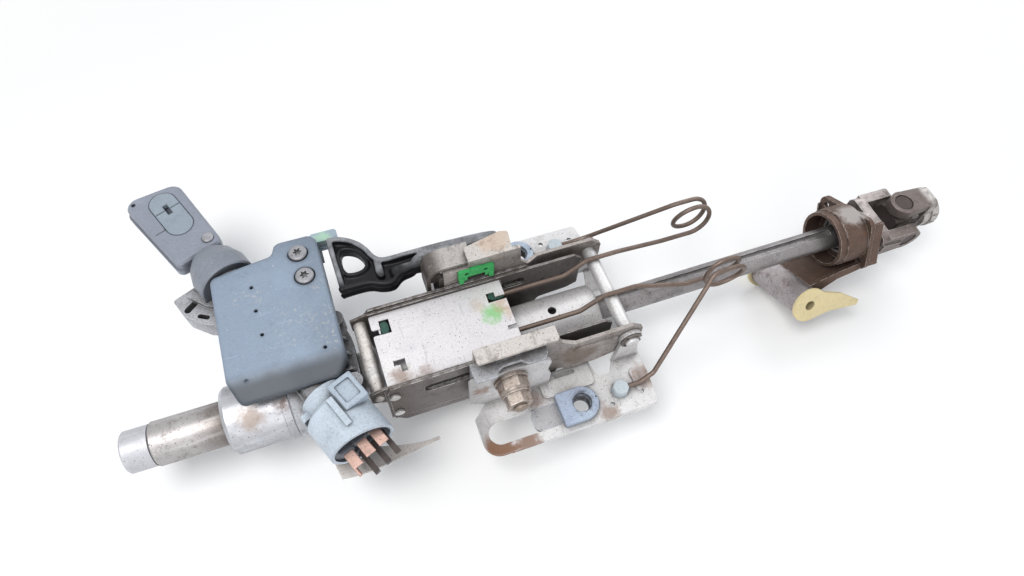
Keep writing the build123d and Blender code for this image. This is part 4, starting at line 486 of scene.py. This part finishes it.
# Lower bracket and universal joint
# A blue mark, and a painted highlight on the bare steel ring of the bearing cup
housing_mark_and_highlight = [
    ((0.272, 0.0, -0.02), 0.004, (0.10, 0.35, 0.60), 0.8),
    ((0.262, 0.004, 0.036), 0.011, (0.46, 0.43, 0.42), 0.8),
]
dress(steel("lower_steel", (0.13, 0.088, 0.072), 0.44, 0.6, grime=0.8, rust=0.85, seed=19.0,
            tint=(0.06, 0.035, 0.025), shade_and_dirt_color=(0.03, 0.016, 0.012), wear=0.9,
            wear_color=(0.56, 0.48, 0.44), reach=0.02, spots=housing_mark_and_highlight),
      "bearing_housing")
dress(steel("pivot_tube_steel", (0.52, 0.49, 0.51), 0.26, 0.9, grime=0.65, rust=0.7, seed=32.0,
            tint=(0.10, 0.06, 0.05)),
      "pivot_tube")
dress(steel("yoke_steel", (0.52, 0.48, 0.47), 0.36, 0.6, grime=0.8, rust=0.5, seed=20.0, fine=False,
            wear=0.8, wear_color=(0.66, 0.62, 0.60), tint=(0.10, 0.08, 0.072), reach=0.018,
            shade_and_dirt=0.95, bands=[(Y, -0.006, -0.018, (0.115, 0.095, 0.088), 0.8)]),
      "lower_yoke")
dress(steel("hub_steel", (0.19, 0.17, 0.165), 0.38, 0.75, grime=0.7, rust=0.4, seed=21.0, wear=0.7,
            reach=0.016, tint=(0.07, 0.055, 0.05),
            bands=[(X, 0.330, 0.336, (0.80, 0.79, 0.77), 0.85)]),
      "outer_yoke")
dress(steel("cross_steel", (0.055, 0.05, 0.052), 0.5, 0.6, grime=0.5, rust=0.3, seed=22.0,
            wear=0.5),
      "joint_cross")

# Metal of the lock, the key and the switch
dress(steel("screw_steel", (0.42, 0.44, 0.48), 0.30, 0.85, grime=0.5, rust=0.1, seed=25.0,
            reach=0.003, wear=0.8),
      "cover_screws", "flip_button", "key_blade")
dress(steel("guard_steel", (0.52, 0.50, 0.49), 0.4, 0.6, grime=0.5, rust=0.35, seed=26.0),
      "guard_plate")
dress(steel("copper", (0.74, 0.50, 0.43), 0.32, 0.75, grime=0.45, rust=0.2, seed=28.0),
      "contact_blades")
dress(steel("prong_steel", (0.05, 0.05, 0.055), 0.36, 0.6, grime=0.3, rust=0.1, seed=29.0, wear=0.9,
            wear_color=(0.30, 0.32, 0.35)),
      "contact_prongs")
dress(steel("brass", (0.70, 0.55, 0.28), 0.35, 1.0, grime=0.3, rust=0.1, seed=30.0),
      "lock_cylinder")

# Plastics
cover_dust = [
    ((-0.152, 0.060, 0.06), 0.008, 0.6),
    ((-0.151, 0.030, 0.06), 0.009, 0.8),
    ((-0.151, 0.014, 0.06), 0.009, 0.8),
    ((-0.172, 0.038, 0.06), 0.010, 0.4),
    ((-0.186, 0.020, 0.06), 0.009, 0.35),
    ((-0.199, 0.060, 0.06), 0.009, 0.45),
]
red_dot = ((-0.1685, -0.046, 0.064), 0.0030, (0.55, 0.02, 0.03), 0.95)
green_mark = ((-0.142, 0.106, 0.044), 0.006, (0.40, 0.62, 0.45), 0.8)
dress(plastic("slate_cover", (0.242, 0.302, 0.388), 0.45, dust=0.35, speckle=0.5, seed=1.0,
              edge=0.004, wear=0.15, mottle=0.12,
              shade=[(Y, 0.009, -0.003, 1.0), (X, -0.176, -0.150, 0.22), (Y, 0.060, 0.100, 0.2)],
              dusty=cover_dust),
      "cover")
dress(plastic("switch_grey", (0.46, 0.525, 0.595), 0.5, dust=0.4, speckle=0.3, seed=2.0, shade_and_dirt=0.95,
              reach=0.014, wear=0.8, mottle=0.25),
      "switch_housing")
dress(plastic("switch_cap_grey", (0.36, 0.42, 0.49), 0.5, dust=0.4, speckle=0.3, seed=12.0,
              shade_and_dirt=0.9, reach=0.005, wear=0.8, mottle=0.25, spots=[red_dot]),
      "switch_cap")
dress(plastic("tab_plastic", (0.30, 0.37, 0.44), 0.5, dust=0.4, speckle=0.3, seed=3.0,
              spots=[green_mark]),
      "latch_tab", "rear_bush")
dress(plastic("cap_plastic", (0.50, 0.56, 0.60), 0.45, dust=0.4, speckle=0.2, seed=4.0, shade_and_dirt=0.8),
      "spring_caps")
dress(plastic("dark_collar", (0.195, 0.215, 0.255), 0.38, dust=0.45, speckle=0.25, seed=5.0,
              edge=0.0012, reach=0.02, shade_and_dirt=0.85),
      "lock_bezel", "switch_rotor", "contact_carrier")
dress(plastic("key_case", (0.24, 0.262, 0.315), 0.36, dust=0.5, speckle=0.2, seed=6.0, edge=0.0016,
              wear=0.3),
      "key_case_back", "key_case_top")
dress(plastic("key_buttons", (0.26, 0.31, 0.36), 0.45, dust=0.4, speckle=0.2, seed=7.0, wear=0.2,
              reach=0.002),
      "lock_button", "unlock_button")
dress(plastic("yellow_bush", (0.68, 0.57, 0.32), 0.5, dust=0.4, speckle=0.3, seed=8.0),
      "pivot_bushes")
dress(plastic("green_clip", (0.03, 0.40, 0.10), 0.5, dust=0.3, speckle=0.2, seed=9.0), "cable_clip")
pad_green = plastic("pad_green", (0.012, 0.065, 0.045), 0.45, dust=0.2, speckle=0.2, seed=9.0)

# Points closer together than this are one point
same_place = 0.00002

# Corners of a rectangle, in half sides from its middle
four_corners = ((-1, -1), (1, -1), (1, 1), (-1, 1))


def mm(points):
    """Points given in millimetres, in metres."""
    return [(x / 1000.0, y / 1000.0) for x, y in points]


def rounded(points, rounds=3):
    """Closed outline with its corners cut again and again until they are round."""
    for _ in range(rounds):
        cut = []
        for i, (x0, y0) in enumerate(points):
            x1, y1 = points[(i + 1) % len(points)]
            cut.append((x0 * 0.75 + x1 * 0.25, y0 * 0.75 + y1 * 0.25))
            cut.append((x0 * 0.25 + x1 * 0.75, y0 * 0.25 + y1 * 0.75))
        points = cut
    return points


def moved_in(points, depth):
    """Outline drawn inwards by a depth, or outwards by a negative one; it runs anticlockwise."""
    inner = []
    for i, (x, y) in enumerate(points):
        xa, ya = points[i - 1]
        xb, yb = points[(i + 1) % len(points)]
        length = math.hypot(xb - xa, yb - ya) or 1.0
        inner.append((x - (yb - ya) / length * depth, y + (xb - xa) / length * depth))
    return inner


def traced(curve, loops, height, place=None, closed=True):
    """Mesh of a curve that follows outlines at a height."""
    for loop in loops:
        line = curve.splines.new("POLY")
        line.points.add(len(loop) - 1)
        for point, (x, y) in zip(line.points, loop):
            point.co = (x, y, 0, 1)
        line.use_cyclic_u = closed
    holder = bpy.data.objects.new("traced", curve)
    scene.collection.objects.link(holder)
    bpy.context.view_layer.update()
    mesh = bpy.data.meshes.new_from_object(holder)
    mesh.transform((place or Matrix.Identity(4)) @ Matrix.Translation((0, 0, height)))
    bpy.data.objects.remove(holder)
    bpy.data.curves.remove(curve)
    return mesh


def slab(loops, low, high, place=None):
    """Flat plate between two heights, from an outline and its holes."""
    curve = bpy.data.curves.new("slab", "CURVE")
    curve.dimensions = "2D"
    curve.fill_mode = "BOTH"
    curve.extrude = (high - low) / 2
    return traced(curve, loops, (low + high) / 2, place)


def bead(line, radius, height, closed=True):
    """Round bead along an outline, centred on a height."""
    curve = bpy.data.curves.new("bead", "CURVE")
    curve.dimensions = "3D"
    curve.bevel_depth = radius
    curve.bevel_resolution = 3
    curve.use_fill_caps = True
    return traced(curve, [line], height, closed=closed)


def cast(name, parts, voxel, passes):
    """Meshes melted into one casting on a grid of voxels, smoothed in some passes."""
    whole = bmesh.new()
    for mesh in parts:
        whole.from_mesh(mesh)
        bpy.data.meshes.remove(mesh)
    bmesh.ops.remove_doubles(whole, verts=whole.verts, dist=same_place)
    mesh = bpy.data.meshes.new(name)
    whole.to_mesh(mesh)
    whole.free()
    piece = bpy.data.objects.new(name, mesh)
    scene.collection.objects.link(piece)
    melt = piece.modifiers.new("melt", "REMESH")
    melt.mode = "VOXEL"
    melt.voxel_size = voxel
    melt.use_smooth_shade = True
    relax = piece.modifiers.new("relax", "SMOOTH")
    relax.factor = 0.5
    relax.iterations = passes
    bpy.context.view_layer.update()
    graph = bpy.context.evaluated_depsgraph_get()
    solid = bpy.data.meshes.new_from_object(piece.evaluated_get(graph))
    piece.modifiers.clear()
    piece.data = solid
    return piece


# Adjusting lever: cast shell with raised rims, in place of the plain one
plate_low = 0.0395
plate_high = 0.0465
rim_high = 0.0525
rim_r = 0.0021
hole_rim_r = 0.0016
hub_r = 0.014
hub_steps = 40
hub_y = (0.0525, 0.0610)
web_y = (0.0535, 0.0600)
one_mm = 0.001
arch = rounded(mm([
    (-140, 52), (-140, 51), (-128, 51.5), (-119, 51), (-113, 47.5), (-106, 45.8), (-101, 46.8),
    (-96, 52), (-88, 52.8), (-84, 55), (-83, 60), (-78, 61.5), (-50, 61), (-30, 60.5), (-21, 60),
    (-18.5, 64), (-22, 68), (-50, 69.5), (-80, 70), (-97, 69.5), (-107, 70), (-111, 75),
    (-113.5, 82), (-119, 90), (-128, 96.5), (-136, 98.5), (-141, 98), (-141, 96),
]))
finger_hole = rounded(mm([
    (-134, 67), (-126, 65.5), (-119.5, 67), (-118, 73), (-121, 81), (-127, 86), (-134, 87),
]))
divider = rounded(mm([
    (-113, 55), (-107.5, 53.5), (-107, 60), (-108, 70), (-112, 73), (-112.5, 66),
]))
web = rounded(mm([
    (-36, 30), (-34, 44), (-40, 50), (-64, 52), (-100, 52), (-103, 50), (-103, 44), (-74, 42),
    (-62, 30), (-52, 24), (-42, 24),
]), 2)
pivot = next(j for j in frame["joints"] if j["name"] == "clamp_lever")
hub_x, _, hub_z = pivot["pos_m"]
hub_turns = [i * 2 * math.pi / hub_steps for i in range(hub_steps)]
hub = [(hub_x + hub_r * math.cos(a), hub_z + hub_r * math.sin(a)) for a in hub_turns]

# The rim stays open on the side towards the cover
open_x = -0.1375
open_y = (0.056, 0.093)
whole_rim = moved_in(arch, rim_r)
rim = [(x, y) for x, y in whole_rim if x > open_x or not open_y[0] < y < open_y[1]]

# Outlines of the hub and the web stand upright, with their heights along minus Y
upright = Matrix(((1, 0, 0, 0), (0, 0, -1, 0), (0, 1, 0, 0), (0, 0, 0, 1)))
lever_parts = [
    slab([moved_in(arch, one_mm), finger_hole], plate_low, plate_high),
    bead(rim, rim_r, rim_high - rim_r, False),
    bead(rim, rim_r, rim_high - 2 * rim_r, False),
    bead(rim, rim_r, plate_low + rim_r, False),
    bead(moved_in(finger_hole, -hole_rim_r), hole_rim_r, plate_high + one_mm),
    slab([divider], plate_low, rim_high - one_mm),
    slab([hub], -hub_y[1], -hub_y[0], upright),
    slab([web], -web_y[1], -web_y[0], upright),
]
lever_shell = cast("lever_shell", lever_parts, voxel=0.0007, passes=2)
lever_shell.data.materials.append(lever_coat)
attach(lever_shell, "lever")
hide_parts("adjusting_lever")

# Dark green pads seen through the cut-outs of the label plate
pad_low = 0.0440
pad_high = 0.0457
pad_y = 17.0


def pad(name, x, half_x, half_y):
    """Small plastic pad with worn corners, its place and half sides in millimetres."""
    corners = [(x + i * half_x, pad_y + j * half_y) for i, j in four_corners]
    mesh = slab([rounded(mm(corners), 2)], pad_low, pad_high)
    piece = bpy.data.objects.new(name, mesh)
    scene.collection.objects.link(piece)
    mesh.materials.append(pad_green)
    return piece


for name, x, half_x, half_y in (("pad_front", -118.1, 3.0, 5.0), ("pad_rear", -36.8, 6.0, 3.2)):
    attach(pad(name, x, half_x, half_y), "column")


def looked_at(tree):
    """One where a ray comes from the camera, a mirror or glass, else zero."""
    path = tree.nodes.new("ShaderNodeLightPath")
    seen = path.outputs["Is Camera Ray"]
    for ray in ("Is Glossy Ray", "Is Transmission Ray"):
        either = tree.nodes.new("ShaderNodeMath")
        either.operation = "MAXIMUM"
        tree.links.new(seen, either.inputs[0])
        tree.links.new(path.outputs[ray], either.inputs[1])
        seen = either.outputs[0]
    return seen


# Floor that keeps the shadow and turns white away from the object
floor_z = with_start[0][2]
half_floor = 6.0
shadow_centre = (0.02, 0.05, floor_z)
fade_start = 0.36
fade_end = 0.80
floor_mesh = bpy.data.meshes.new("floor")
floor_corners = [(i * half_floor, j * half_floor, floor_z) for i, j in four_corners]
floor_mesh.from_pydata(floor_corners, [], [(0, 1, 2, 3)])
floor = bpy.data.objects.new("floor", floor_mesh)
scene.collection.objects.link(floor)
floor_look = bpy.data.materials.new("floor")
floor_look.use_nodes = True
ft = floor_look.node_tree
pale_floor = ft.nodes["Principled BSDF"]
pale_floor.inputs["Base Color"].default_value = (0.97, 0.97, 0.97, 1)
pale_floor.inputs["Roughness"].default_value = 0.9
pale_floor.inputs["Specular IOR Level"].default_value = 0.1
spot = ft.nodes.new("ShaderNodeNewGeometry")
away = ft.nodes.new("ShaderNodeVectorMath")
away.operation = "DISTANCE"
away.inputs[1].default_value = shadow_centre
ft.links.new(spot.outputs["Position"], away.inputs[0])
fade = ft.nodes.new("ShaderNodeMapRange")
fade.interpolation_type = "SMOOTHSTEP"
fade.inputs["From Min"].default_value = fade_start
fade.inputs["From Max"].default_value = fade_end
ft.links.new(away.outputs["Value"], fade.inputs["Value"])
share = ft.nodes.new("ShaderNodeMath")
share.operation = "MULTIPLY"
ft.links.new(fade.outputs["Result"], share.inputs[0])
ft.links.new(looked_at(ft), share.inputs[1])
glow = ft.nodes.new("ShaderNodeEmission")
glow.inputs["Color"].default_value = (1, 1, 1, 1)
glow.inputs["Strength"].default_value = 1.0
blend = ft.nodes.new("ShaderNodeMixShader")
ft.links.new(share.outputs[0], blend.inputs["Fac"])
ft.links.new(pale_floor.outputs[0], blend.inputs[1])
ft.links.new(glow.outputs[0], blend.inputs[2])
ft.links.new(blend.outputs[0], ft.nodes["Material Output"].inputs["Surface"])
floor_mesh.materials.append(floor_look)

# Surroundings: white to the camera, in mirrors and through glass, and a soft light elsewhere
world = bpy.data.worlds.new("world")
scene.world = world
world.use_nodes = True
wt = world.node_tree
wt.nodes.clear()
world_out = wt.nodes.new("ShaderNodeOutputWorld")
white = wt.nodes.new("ShaderNodeBackground")
white.inputs["Color"].default_value = (1, 1, 1, 1)
white.inputs["Strength"].default_value = 1.0
fill = wt.nodes.new("ShaderNodeBackground")
fill.inputs["Color"].default_value = (0.93, 0.96, 1.0, 1)
fill.inputs["Strength"].default_value = 0.5
mix = wt.nodes.new("ShaderNodeMixShader")
wt.links.new(looked_at(wt), mix.inputs["Fac"])
wt.links.new(fill.outputs[0], mix.inputs[1])
wt.links.new(white.outputs[0], mix.inputs[2])
wt.links.new(mix.outputs[0], world_out.inputs["Surface"])


def area(name, at, to, size, power, color):
    """Round area lamp at a place, turned to a point."""
    data = bpy.data.lights.new(name, "AREA")
    data.shape = "DISK"
    data.size = size
    data.energy = power
    data.color = color
    lamp = bpy.data.objects.new(name, data)
    scene.collection.objects.link(lamp)
    lamp.location = at
    lamp.rotation_euler = (Vector(to) - Vector(at)).to_track_quat("-Z", "Y").to_euler()


# Soft lamps
area("key", (-0.5, -0.2, 1.3), (0, 0, 0), 0.7, 11.5, (1.0, 0.99, 0.97))
area("side", (0.9, 0.7, 0.9), (0.05, 0, 0), 0.8, 5, (0.95, 0.97, 1.0))
area("front", (-0.2, -1.1, 0.6), (0, 0, 0), 0.8, 3, (1.0, 1.0, 1.0))

scene.view_settings.view_transform = "Standard"
